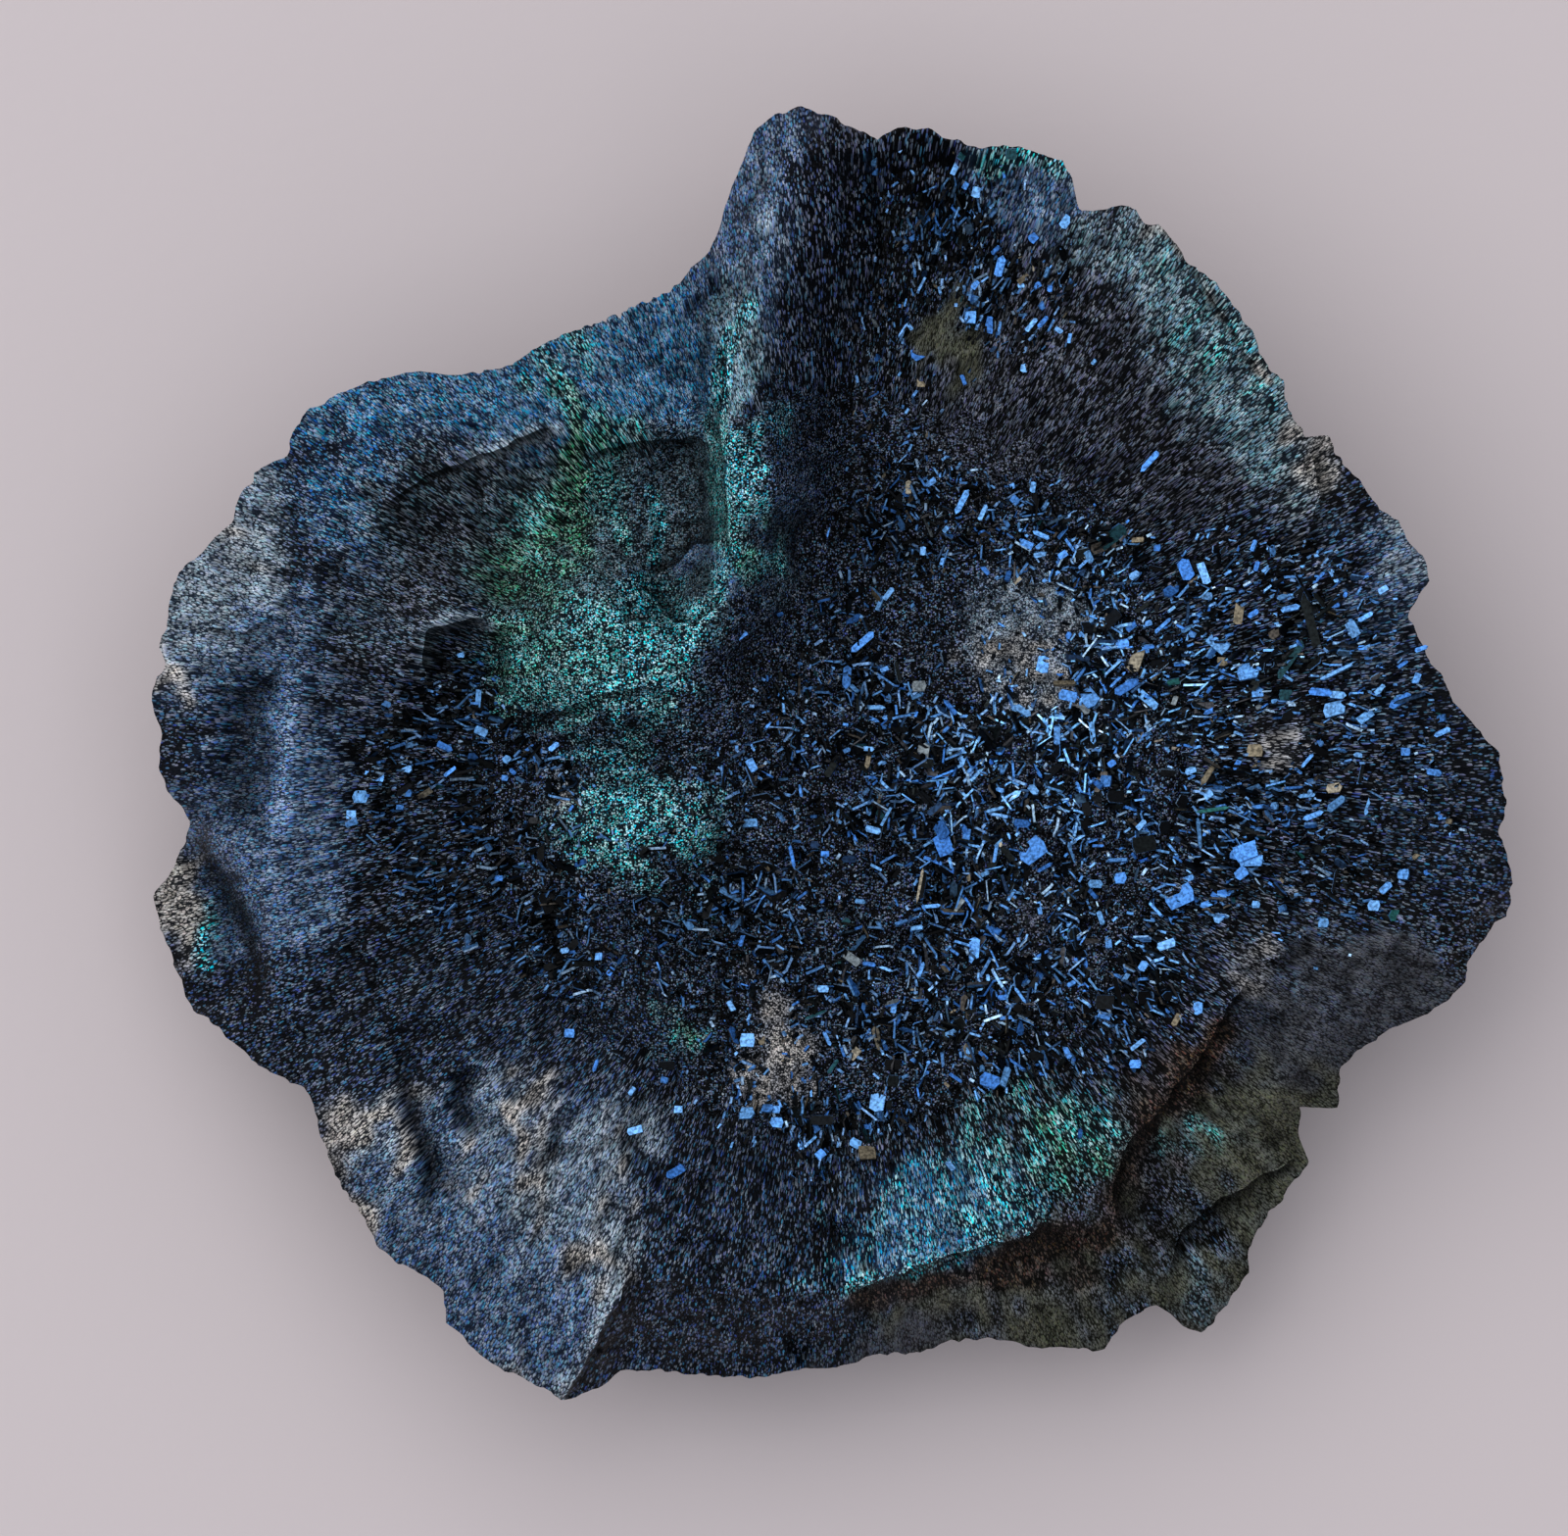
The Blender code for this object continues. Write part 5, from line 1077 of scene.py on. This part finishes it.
# Crystals read one by one: pixel across and down, length and breadth in pixels, turn of the long side in
# degrees, and how it shows: m middle blue, d dark, t teal, p pale cream, and bright blue if nothing is said
READ_CRYSTALS = """
892,164,16,6,85 893,176,8,5,80 880,192,12,7,65,m 974,173,14,6,65 973,195,15,3,70,m 985,190,8,6,60
996,197,12,10,80 1038,190,14,3,75,m 1031,159,12,12,0,t 981,160,10,8,60,t 1020,273,22,9,75 1016,256,12,5,45
932,243,9,6,35 924,253,7,5,45 990,324,14,14,0 1010,332,17,10,75 937,361,16,14,30 1045,376,9,8,80
1017,352,20,4,48,m 1042,292,8,5,0 1058,292,8,6,30 1071,295,9,6,80 1068,279,12,5,70 1064,312,10,8,45
1052,332,16,5,50 1064,329,16,5,50 1080,338,9,5,-35 1091,346,10,4,80 1087,228,14,10,55 1054,244,10,10,40
1116,370,7,4,50 895,365,8,6,80 940,391,9,9,0,p 983,388,12,4,-70 995,291,10,6,55 928,333,9,4,-55
754,651,21,6,35 880,655,29,8,42 898,616,18,5,68 907,606,15,6,53 873,586,9,5,80 796,627,7,4,15
947,493,17,9,35 927,497,14,6,88,p 982,512,26,7,62 942,562,10,6,88 965,540,8,5,50 962,571,12,4,75
844,543,11,4,75 903,683,9,5,25 916,685,24,5,-78,d 938,700,14,14,0,p 936,710,14,5,25 872,703,12,5,-45
931,618,7,4,35 1173,471,27,6,48 1036,510,10,9,-40 1054,497,12,6,80 1033,495,9,5,-70 1003,523,17,5,65
1057,518,20,4,-60,d 1027,534,10,5,-60 1063,546,20,5,-25 1087,531,14,4,10,d 1048,555,15,8,-25
1061,557,10,5,40 1061,566,14,6,15 1085,566,10,7,35 1004,580,18,5,-48 1029,588,14,6,75 1073,588,22,4,32
1111,566,18,8,-65 1135,547,30,16,35,t 1146,548,18,4,-60 1161,551,14,6,5,p 1181,559,8,7,0 1158,587,12,8,30
1180,580,18,5,-10,d 1210,581,22,14,-70 1196,602,20,12,35 1228,585,24,9,-72 1232,608,13,9,-10
1212,626,22,3,85,m 1205,640,12,3,-30 1218,645,13,8,60 1117,626,24,5,68 1113,606,12,3,80 1133,633,28,12,45,d
1156,638,17,6,38 1171,636,11,6,20 1187,638,22,4,42 1091,648,7,6,60 1146,656,14,9,10 1100,671,26,6,-5,m
1127,664,16,6,30,m 1173,660,12,4,5 1160,673,28,14,70,p 1065,678,17,14,80 1085,684,14,8,35 1087,697,24,6,0,p
1103,688,20,3,55 1141,693,22,3,45 1151,700,28,10,32 1179,686,12,8,-25 1243,656,26,16,-40 1249,690,13,4,30
1224,706,12,5,25 1090,710,18,12,-15 1111,712,22,18,-50 1107,722,14,8,-50,p 1172,714,25,9,-41
1032,702,20,4,-80 1198,695,14,7,10,t 1279,557,12,5,70 1282,578,11,5,75 1291,581,10,4,40 1311,608,18,6,22
1316,621,20,7,12 1279,626,13,6,30 1289,634,20,5,10 1264,626,26,10,80,p 1336,632,62,10,-75,d 1345,590,18,3,45
1360,588,14,5,-60 1345,612,20,5,-50,d 1362,618,10,5,5 1410,602,11,7,30 1380,642,18,12,-60 1392,630,18,5,30
1373,604,12,4,70 1293,673,30,5,80,d 1317,673,44,8,55,t 1274,685,24,20,10 1284,706,12,11,0 1367,684,50,4,26
1347,706,26,8,-5 1364,709,18,8,-5 1445,692,13,8,70 1449,662,14,5,20 1430,678,12,4,35 1442,711,50,4,18,m
1407,704,14,5,45 1329,599,34,4,120,d 1329,599,30,4,40,d 1329,599,28,4,75,d 891,722,25,5,0 889,733,20,4,-22
906,732,11,5,5 922,735,16,3,65,m 970,722,20,5,-50 986,743,10,5,20 966,744,10,4,45 886,764,12,5,-5
886,774,22,5,80,p 942,769,22,14,80,p 919,772,11,4,42,p 983,772,25,8,68 993,783,18,4,48 767,781,14,9,-60
765,840,20,9,5 808,830,8,6,30 808,842,16,6,80,m 817,807,13,3,-80 891,847,15,7,-15 954,825,20,7,40,m
974,820,28,3,3,m 967,808,22,3,15,m 961,847,20,16,-60 963,862,24,18,-65 933,847,18,4,-85 987,852,12,8,80
991,862,20,3,-12 939,904,36,3,80,p 942,905,30,5,80,d 973,912,28,8,90,m 952,878,20,4,-20 867,876,16,8,0,m
894,885,14,3,-28 878,920,13,5,-8 861,942,14,7,40,t 927,937,34,8,22 936,947,14,5,8 948,925,26,4,5
790,852,12,3,40 808,873,26,4,-78 842,871,9,6,0 831,862,9,8,0,m 1042,724,22,8,-32 1079,750,22,7,88
1059,754,12,6,40 1115,747,24,6,-85 1236,725,15,5,25 1199,715,10,6,70,p 1139,761,18,5,80 1150,760,13,6,80,m
1135,779,9,7,40 1120,799,18,7,-45 1129,797,14,13,0 1235,787,34,6,57,p 1216,786,12,7,20 1192,788,18,7,-3,d
1211,759,20,3,12 1238,826,36,4,8,t 1224,851,34,4,-85 1055,806,14,8,-50 1043,840,20,9,-5 1016,826,20,4,15
1054,868,32,24,40 1067,885,20,4,30 1016,871,20,4,80 1121,863,12,3,0 1137,878,36,4,3 1118,902,16,9,0
1116,912,14,5,-50 1144,896,12,12,0 1204,914,34,22,25 1213,897,14,6,20 1244,937,10,10,45 1124,937,16,6,-70
1061,927,14,5,-80 1160,892,16,3,75,m 1165,842,12,6,45 1168,861,28,18,10,d 1189,844,14,14,0,d
1139,813,18,13,0,d 1207,818,14,12,60,d 1208,835,14,4,-30,m 1234,811,10,8,40 1021,806,10,5,-20
1005,892,12,5,25 1022,785,12,4,-80 1362,723,24,16,15 1393,731,20,10,35 1428,715,26,9,30 1468,733,18,8,15
1471,747,20,6,25 1321,726,30,10,30,d 1312,709,14,12,0,t 1281,766,16,14,0,p 1334,776,18,4,50 1263,780,13,6,60
1347,757,12,6,-60 1389,787,28,4,80,d 1434,767,11,9,0 1463,788,20,7,-10 1313,834,26,10,88 1284,823,17,4,8
1301,822,9,8,0 1320,804,22,3,5 1334,812,20,4,5 1364,820,28,9,38 1340,832,22,6,20 1397,820,26,5,72
1361,804,18,10,10,p 1272,868,24,18,20 1277,878,26,12,0 1267,891,14,12,40 1282,923,9,8,0 1309,927,10,7,30
1351,942,11,10,0 1414,906,14,8,45 1432,892,14,12,0 1458,889,12,6,25 1402,924,14,12,0 1471,834,9,5,10
1478,838,8,6,0,p 1482,851,8,6,30 1354,854,14,3,15 1362,899,24,3,80,d 1373,905,18,3,-60,d 1364,918,24,4,-35,d
1432,828,36,3,-15,d 1445,873,10,6,40,p 1426,934,20,12,0,t 746,1027,13,6,-60 763,1062,16,15,0
777,1060,14,7,85,p 840,1009,12,7,0 887,984,14,5,-10 900,987,26,3,-20 940,990,16,5,70 844,1060,16,4,-65
850,1088,17,4,55,t 872,1075,14,9,50,p 865,1119,11,5,30 855,1121,9,3,-50 895,1125,20,17,80 911,1103,14,13,0,d
911,1086,18,12,0,d 762,1136,16,14,0 783,1131,12,10,0 792,1132,8,8,0 793,1145,14,12,0 827,1165,17,3,42
814,1167,14,3,-60 837,1178,10,9,40 839,1143,26,10,0,d 873,1167,12,10,-30 885,1176,18,18,0,p
970,1190,12,6,-50 990,1072,8,7,0 944,1095,9,4,5 946,1087,10,4,60 929,1080,16,4,-35 912,1028,12,6,80
832,1036,28,3,22,t 956,1037,13,4,65,m 1191,964,20,10,20 1167,986,12,9,60 1132,962,16,7,-85 1103,984,16,14,0
1094,1004,10,5,30 1106,1007,12,9,-45 1009,1006,26,4,-88 1042,1016,20,3,-55 1022,1039,24,4,5
1142,1014,36,6,-75,d 1128,1023,20,16,0,d 1110,1030,12,10,0,d 1171,1018,22,16,0,d 1196,1016,20,10,0,d
1127,1038,13,5,-15 1223,1029,15,11,85 1201,1041,16,7,60,p 1165,1041,14,5,55,p 1161,1066,18,5,38
1159,1086,12,9,0 1090,1075,15,6,-65 1010,1103,20,16,-20 1026,1099,24,8,72 1038,1086,24,3,-35
1067,1096,16,3,0 1069,1072,36,2,35,m 1102,1157,12,5,88 488,713,20,6,85 491,746,14,9,-25 453,762,17,7,-25
565,762,13,6,38 414,784,13,8,-15 382,792,22,9,-10 368,813,18,14,0 358,831,10,9,0 416,809,9,8,0 408,824,8,6,0
476,836,14,11,20 459,787,14,4,38 517,775,8,8,45 523,787,8,5,-45 515,794,7,7,0 583,825,8,3,55 470,668,8,6,0
509,896,9,6,0 407,720,12,4,45 595,914,9,6,0 576,970,9,6,10 611,976,8,8,0 623,991,10,6,55 671,986,9,4,-70
581,1054,11,10,0 608,1087,14,4,70 645,1113,10,5,55 678,1102,9,7,-20 648,1153,16,8,15 692,1132,9,8,0
757,959,14,5,75 680,1087,16,10,0,d 690,1195,24,9,30
"""

# Tones of the crystals by how they show: bright, middle, dark, teal, pale, grey and light-edged; the bright
# and light-edged tones are partly painted glint and edge highlight
CRYSTAL_TONES = {
    "b": ["4c88d4", "3c76c4", "5c98de", "5a90c8", "6ea8e6"],
    "m": ["223a58", "1c3250", "2a4464", "2b4258"],
    "d": ["04070c", "070c13", "030406", "101316", "161b1c"],
    "t": ["235058", "1d4048", "2c6a68"],
    "p": ["8f8878", "7d7462", "7f8a90"],
    "g": ["47474a", "55504a", "3a3c40"],
    "l": ["82b0e8", "6ea4e2", "9cbee0", "5c94d6"],
}


# How much a plate's corners stray from an even hexagon, as a share of its length and breadth
CORNER_STRAY = 0.22
# A plate's faces, from its corners: 0 to 5 round the top, 6 to 11 below them
PLATE_QUADS = [(0, 1, 2, 3), (0, 3, 4, 5), (9, 8, 7, 6), (11, 10, 9, 6)]
PLATE_QUADS += [(k, k + 6, (k + 1) % 6 + 6, (k + 1) % 6) for k in range(6)]


def hexagon_plates(centre, long_way, face_way, length, breadth, thickness, tip):
    """Six-sided plates as whole arrays: a long hexagon round each centre, thickened along its normal.

    The pointed ends take the share `tip` of the length; the second copy lies one thickness below.
    """
    side_way = np.cross(face_way, long_way)
    half, inner = np.full(len(tip), 0.5), 0.5 - tip
    stray = 1 + CORNER_STRAY * (hashed(np.arange(len(tip))[:, None], np.arange(12)[None], 7) - 0.5)
    along = np.column_stack([half, inner, -inner, -half, -inner, inner]) * length[:, None] * stray[:, :6]
    aside = np.array([0.0, 0.5, 0.5, 0.0, -0.5, -0.5])[None] * breadth[:, None] * stray[:, 6:]
    outline = centre[:, None] + long_way[:, None] * along[..., None]
    outline = outline + side_way[:, None] * aside[..., None]
    lift = face_way[:, None] * (thickness[:, None, None] / 2)
    points = np.concatenate([outline + lift, outline - lift], axis=1)
    quads = np.array(PLATE_QUADS)[None] + 12 * np.arange(len(centre))[:, None, None]
    return points.reshape(-1, 3), quads.reshape(-1, 4)


def unit(vectors):
    """Vectors with their lengths made one."""
    return vectors / np.linalg.norm(vectors, axis=-1, keepdims=True)


def leaning(lean, azimuth):
    """Unit normals that lean from straight up by an angle, towards an azimuth."""
    return np.stack([np.sin(lean) * np.cos(azimuth), np.sin(lean) * np.sin(azimuth), np.cos(lean)], axis=-1)


def turned(normal, turn):
    """The direction in each plate's plane that shows at an angle `turn` in the photograph."""
    flat = np.stack([np.cos(turn), np.sin(turn), 0 * turn], axis=-1)
    flat[..., 2] = -(flat[..., 0] * normal[..., 0] + flat[..., 1] * normal[..., 1]) / normal[..., 2]
    return unit(flat)


def pick_tones(random, kinds, jitter):
    """A linear colour for each crystal from its kind's tones, made a little lighter or darker."""
    kinds = np.asarray(kinds)
    out = np.zeros((len(kinds), 3))
    draw = random.uniform(0, 1, len(kinds))
    for kind, tones in CRYSTAL_TONES.items():
        choices = np.array([linear(tone) for tone in tones])
        chosen = kinds == kind
        out[chosen] = choices[(draw[chosen] * len(choices)).astype(int)]
    return out * random.uniform(1 - jitter, 1 + jitter, (len(kinds), 1))


def plate_tips_and_thickness(random, least_thickness, count):
    """Random thicknesses of plates, and the share of the length that each pointed end takes."""
    return random.uniform(least_thickness, 0.2, count) * MM, random.uniform(0.03, 0.16, count)


def read_crystals():
    """The crystals that were read one by one, as arrays for hexagon_plates and two colours each.

    A crystal that shines leans half as far as the key light does, give or take; a dull one leans away from
    it. Its rim is half as bright as its face, or pale where the face is dark, a painted edge highlight.
    """
    random = np.random.RandomState(3)
    entries = [(item + ",b").split(",") for item in READ_CRYSTALS.split()]
    px, py, length, breadth, turn = (np.array([float(entry[k]) for entry in entries]) for k in range(5))
    kinds, count = [entry[5] for entry in entries], len(entries)
    shining = np.isin(kinds, ["b", "p"])
    x, y = place(px, py)
    lean = np.where(shining, SHINE_LEAN + random.normal(0, 0.2, count), random.uniform(0.1, 0.5, count))
    azimuth = np.where(shining, KEY_AZIMUTH + random.normal(0, 0.6, count),
                       KEY_AZIMUTH + math.pi + random.normal(0, 0.9, count))
    normal = leaning(lean, azimuth)
    length, breadth = length * PIXEL, breadth * PIXEL
    centre = np.column_stack([x, y, SURVEY.read(SURVEY.top, x, y) + 0.10 * MM + 0.12 * breadth])
    thickness, tip = plate_tips_and_thickness(random, 0.10, count)
    tone = pick_tones(random, kinds, 0.15)
    dark = np.isin(kinds, ["d", "t"])[:, None]
    edge = np.where(dark, 0.8 * pick_tones(random, ["l"] * count, 0.4), 0.5 * tone)
    return centre, turned(normal, np.radians(turn)), normal, length, 0.9 * breadth, thickness, tip, tone, edge


# Shares of the seeded crystals' kinds, for their faces and for their rims; the bright faces and the
# light-edged and bright rims are partly painted glint and edge highlight
FACE_KINDS = {"b": 0.09, "m": 0.03, "d": 0.80, "t": 0.01, "p": 0.02, "g": 0.05}
RIM_KINDS = {"l": 0.25, "b": 0.15, "m": 0.05, "d": 0.51, "g": 0.04}
# The share of blades that stand on their long edge, the lean from straight up of those and of the others
# in degrees, and how many places are tried for each crystal
STANDING_SHARE = 0.72
STANDING_LEAN, LYING_LEAN = (55, 86), (12, 50)
TRIES = 14
# The seeded sets: range of lengths, seed, and the power of the crowding that they follow
LARGE_SET = ((0.6 * MM, 1.4 * MM), 11, 1.3)
SMALL_SET = ((0.26 * MM, 0.7 * MM), 12, 0.7)


def scattered_crystals(count, sizes, seed, crowd_power):
    """Seeded crystals that fill the hollow, denser where the crystals crowd.

    Most are blades that stand on their long edge, so that their lit rims show; the rest lie flatter. They
    lie in any direction near the middle of the face and mostly outwards farther from it.
    """
    random = np.random.RandomState(seed)
    low, high = (np.array(corner)[:2] for corner in CAD_BOX)
    spots = random.uniform(low, high, (count * TRIES, 2))
    share = crowding(spots[:, 0], spots[:, 1]) ** crowd_power
    inside = np.hypot(*spots.T) < edge_radius(np.arctan2(spots[:, 1], spots[:, 0])) - 0.8 * MM
    x, y = spots[inside & (random.uniform(0, 1, len(spots)) < share)][:count].T
    total = len(x)
    length = random.uniform(*sizes, total) * (0.75 + 0.5 * crowding(x, y))
    breadth = length * random.uniform(0.2, 0.5, total)
    standing = random.uniform(0, 1, total) < STANDING_SHARE
    lean = np.where(standing, random.uniform(*STANDING_LEAN, total), random.uniform(*LYING_LEAN, total))
    lean = np.radians(lean)
    loose = 0.4 + 2.0 * (1 - smoothstep(16 * MM, 24 * MM, np.hypot(x, y)))
    side = np.where(random.uniform(0, 1, total) < 0.5, -1, 1) * math.pi / 2
    normal = leaning(lean, np.arctan2(y, x) + side + loose * random.normal(0, 1, total))
    level = unit(np.cross(np.array([0.0, 0.0, 1.0]), normal))
    swing = np.radians(random.normal(0, 22, total))[:, None]
    long_way = np.cos(swing) * level + np.sin(swing) * np.cross(normal, level)
    centre = np.column_stack([x, y, ground(x, y) + breadth * 0.3 * np.sin(lean)])
    kinds = random.choice(list(FACE_KINDS), total, p=list(FACE_KINDS.values()))
    thickness, tip = plate_tips_and_thickness(random, 0.08, total)
    edges = random.choice(list(RIM_KINDS), total, p=list(RIM_KINDS.values()))
    light = crystal_light(x, y)[:, None]
    return (centre, long_way, normal, length, breadth, thickness, tip, light * pick_tones(random, kinds, 0.3),
            light * pick_tones(random, edges, 0.4))


def build_crystals(name, parts, settings):
    """One piece from several sets of plates, clipped to the frame's box."""
    *plates, tone, edge_tone = (np.concatenate(arrays) for arrays in zip(*parts))
    points, quads = hexagon_plates(*plates)
    tones = np.concatenate([np.repeat(tone[:, None], 4, axis=1), np.repeat(edge_tone[:, None], 6, axis=1)],
                           axis=1).reshape(-1, 3)
    points = np.clip(points, *(np.array(corner) for corner in CAD_BOX))
    return mesh_piece(name, points, [quads], crystal_material(settings), {"tone": tones},
                      flat=True)


def length_setting(name, description, default):
    """A property that holds a length in metres."""
    return bpy.props.FloatProperty(name=name, description=description, default=default,
                                   subtype="DISTANCE", unit="LENGTH", precision=6)


class OreSettings(bpy.types.PropertyGroup):
    """Sizes of the ore's skin."""

    face_grid: bpy.props.IntProperty(
        name="Face grid", description="Cells across the face's grid", default=260, min=40, max=300)
    side_rings: bpy.props.IntProperty(
        name="Side rings", description="Rings down the broken side", default=10, min=3, max=20)
    under_rings: bpy.props.IntProperty(
        name="Underside rings", description="Rings across the underside", default=44, min=8, max=80)
    fibre_width: length_setting("Fibre width", "Width of the ore's fibres", 0.1 * MM)
    fibre_length: length_setting("Fibre length", "Length of the ore's fibres", 0.27 * MM)
    grit_size: length_setting("Grit size", "Size of the cleavage grit near the middle", 0.12 * MM)
    grain_depth: length_setting("Grain depth", "Depth of the gaps between grains", 0.08 * MM)


class CrystalSettings(bpy.types.PropertyGroup):
    """Sizes of the hollow's crystals."""

    large_count: bpy.props.IntProperty(
        name="Large crystals", description="Seeded crystals of about a millimetre", default=2500, min=0)
    small_count: bpy.props.IntProperty(
        name="Small crystals", description="Seeded crystals of about half a millimetre", default=9000, min=0)
    plate_roughness: bpy.props.FloatProperty(
        name="Plate roughness", description="Roughness of the crystal faces", default=0.4,
        min=0, max=1, subtype="FACTOR")


class StudioSettings(bpy.types.PropertyGroup):
    """Light, floor and camera."""

    floor_colour: bpy.props.FloatVectorProperty(
        name="Floor colour", description="Colour of the pale floor", size=3, subtype="COLOR",
        default=tuple(linear("d3c8c9")), min=0, max=1)
    key_power: bpy.props.FloatProperty(
        name="Key power", description="Power of the soft light from the upper left", default=8.2,
        subtype="POWER", unit="POWER")
    fill_power: bpy.props.FloatProperty(
        name="Fill power", description="Power of the large light overhead", default=6.0,
        subtype="POWER", unit="POWER")
    air_strength: bpy.props.FloatProperty(
        name="Air strength", description="Strength of the light from all round", default=0.58, min=0)
    camera_distance: length_setting("Camera distance", "Distance of the camera above the face", 2.5)


class SPECIMEN_OT_ore_skin(bpy.types.Operator):
    """Build the ore's skin"""

    bl_idname = "specimen.ore_skin"
    bl_label = "Ore Skin"

    def execute(self, context):
        build_ore_skin(context.scene.specimen_ore)
        return {"FINISHED"}


class SPECIMEN_OT_crystals(bpy.types.Operator):
    """Build the hollow's crystals"""

    bl_idname = "specimen.crystals"
    bl_label = "Hollow Crystals"

    def execute(self, context):
        settings = context.scene.specimen_crystals
        large = scattered_crystals(settings.large_count, *LARGE_SET)
        piece = build_crystals("hollow_crystals", [read_crystals(), large], settings)
        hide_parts(CRUST_NODE)
        small = scattered_crystals(settings.small_count, *SMALL_SET)
        build_crystals("small_crystals", [small], settings)
        return {"FINISHED"}


# The height that the camera and the lights look at
AIM_HEIGHT = 0.02
FLOOR_HALF = 3.0
AIR_COLOUR = (0.80, 0.82, 0.88, 1)
# The lights' sizes and distances in metres, and their colours
KEY_LIGHT = (1.5, 1.3, (1, 1, 1))
FILL_LIGHT = (1.2, 1.6, (0.92, 0.96, 1))


def aim(obj, target):
    """Turn a light or camera so that it looks at a point."""
    way = Vector(target) - obj.location
    obj.rotation_euler = way.to_track_quat("-Z", "Y").to_euler()


def soft_light(name, power, azimuth, elevation, size, distance, colour):
    """A square light that looks at the specimen from an azimuth and elevation."""
    data = bpy.data.lights.new(name, "AREA")
    data.shape, data.size, data.energy, data.color = "SQUARE", size, power, colour
    light = bpy.data.objects.new(name, data)
    level = distance * math.cos(elevation)
    light.location = (level * math.cos(azimuth), level * math.sin(azimuth), distance * math.sin(elevation))
    bpy.context.scene.collection.objects.link(light)
    aim(light, (0, 0, AIM_HEIGHT))
    return light


def floor_material(colour):
    """Matte card: pale and even, with a faint tooth."""
    material, tree, surface = new_material("matte card floor")
    spot = add(tree, "TexCoord").outputs["Object"]
    tooth = add(tree, "TexNoise", {"Scale": 900.0, "Detail": 2.0}, {"Vector": spot})
    bump = add(tree, "Bump", {"Strength": 0.1, "Distance": 0.2 * MM}, {"Height": tooth})
    shader = add(tree, "BsdfPrincipled",
                 {"Base Color": (*colour, 1), "Roughness": 0.9, "Specular IOR Level": 0.1},
                 {"Normal": bump})
    tree.links.new(shader.outputs[0], surface)
    return material


def build_floor(colour):
    """A flat square of card on the plane that the specimen rests on."""
    mesh = bpy.data.meshes.new("floor")
    corners = [(-FLOOR_HALF, -FLOOR_HALF, 0), (FLOOR_HALF, -FLOOR_HALF, 0), (FLOOR_HALF, FLOOR_HALF, 0),
               (-FLOOR_HALF, FLOOR_HALF, 0)]
    mesh.from_pydata(corners, [], [(0, 1, 2, 3)])
    mesh.materials.append(floor_material(colour))
    floor = bpy.data.objects.new("floor", mesh)
    bpy.context.scene.collection.objects.link(floor)
    floor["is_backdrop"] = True


def build_camera(distance):
    """A camera straight above the middle of the photograph, which it frames at the face's height."""
    data = bpy.data.cameras.new("camera")
    camera = bpy.data.objects.new("camera", data)
    bpy.context.scene.collection.objects.link(camera)
    x, y = place(PHOTO_SIZE_PX[0] / 2, PHOTO_SIZE_PX[1] / 2)
    camera.location = (x, y, AIM_HEIGHT + distance)
    data.sensor_fit = "HORIZONTAL"
    data.lens = data.sensor_width * distance / (PHOTO_SIZE_PX[0] * PIXEL)
    data.clip_end = 20
    bpy.context.scene.camera = camera


class SPECIMEN_OT_studio(bpy.types.Operator):
    """Build the floor, the lights and the camera"""

    bl_idname = "specimen.studio"
    bl_label = "Studio"

    def execute(self, context):
        settings = context.scene.specimen_studio
        build_floor(settings.floor_colour)
        soft_light("key light", settings.key_power, KEY_AZIMUTH, KEY_ELEVATION, *KEY_LIGHT)
        soft_light("overhead fill", settings.fill_power, 0.0, math.pi / 2, *FILL_LIGHT)
        world = bpy.data.worlds.new("studio air")
        world.use_nodes = True
        background = world.node_tree.nodes["Background"]
        background.inputs["Color"].default_value = AIR_COLOUR
        background.inputs["Strength"].default_value = settings.air_strength
        context.scene.world = world
        build_camera(settings.camera_distance)
        context.scene.view_settings.view_transform = "Standard"
        return {"FINISHED"}


class SPECIMEN_PT_panel(bpy.types.Panel):
    """Buttons and sizes of the specimen"""

    bl_label = "Covellite Specimen"
    bl_idname = "SPECIMEN_PT_panel"
    bl_space_type = "VIEW_3D"
    bl_region_type = "UI"
    bl_category = "Specimen"

    def draw(self, context):
        scene = context.scene
        for group, operator in GROUPS:
            box = self.layout.box()
            settings = getattr(scene, group)
            for key in settings.__annotations__:
                box.prop(settings, key)
            box.operator(operator)


GROUPS = [
    ("specimen_ore", SPECIMEN_OT_ore_skin.bl_idname),
    ("specimen_crystals", SPECIMEN_OT_crystals.bl_idname),
    ("specimen_studio", SPECIMEN_OT_studio.bl_idname),
]
CLASSES = (
    OreSettings, CrystalSettings, StudioSettings, SPECIMEN_OT_ore_skin, SPECIMEN_OT_crystals,
    SPECIMEN_OT_studio, SPECIMEN_PT_panel,
)


def register():
    for cls in CLASSES:
        bpy.utils.register_class(cls)
    bpy.types.Scene.specimen_ore = bpy.props.PointerProperty(type=OreSettings)
    bpy.types.Scene.specimen_crystals = bpy.props.PointerProperty(type=CrystalSettings)
    bpy.types.Scene.specimen_studio = bpy.props.PointerProperty(type=StudioSettings)


def unregister():
    del bpy.types.Scene.specimen_ore
    del bpy.types.Scene.specimen_crystals
    del bpy.types.Scene.specimen_studio
    for cls in reversed(CLASSES):
        bpy.utils.unregister_class(cls)


def main():
    register()
    bpy.ops.specimen.ore_skin()
    bpy.ops.specimen.crystals()
    bpy.ops.specimen.studio()
    boxes = {"cad": CAD_BOX, "visual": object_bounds()}
    sizes = {key: [[float(value) for value in corner] for corner in box] for key, box in boxes.items()}


if __name__ == "__main__":
    main()
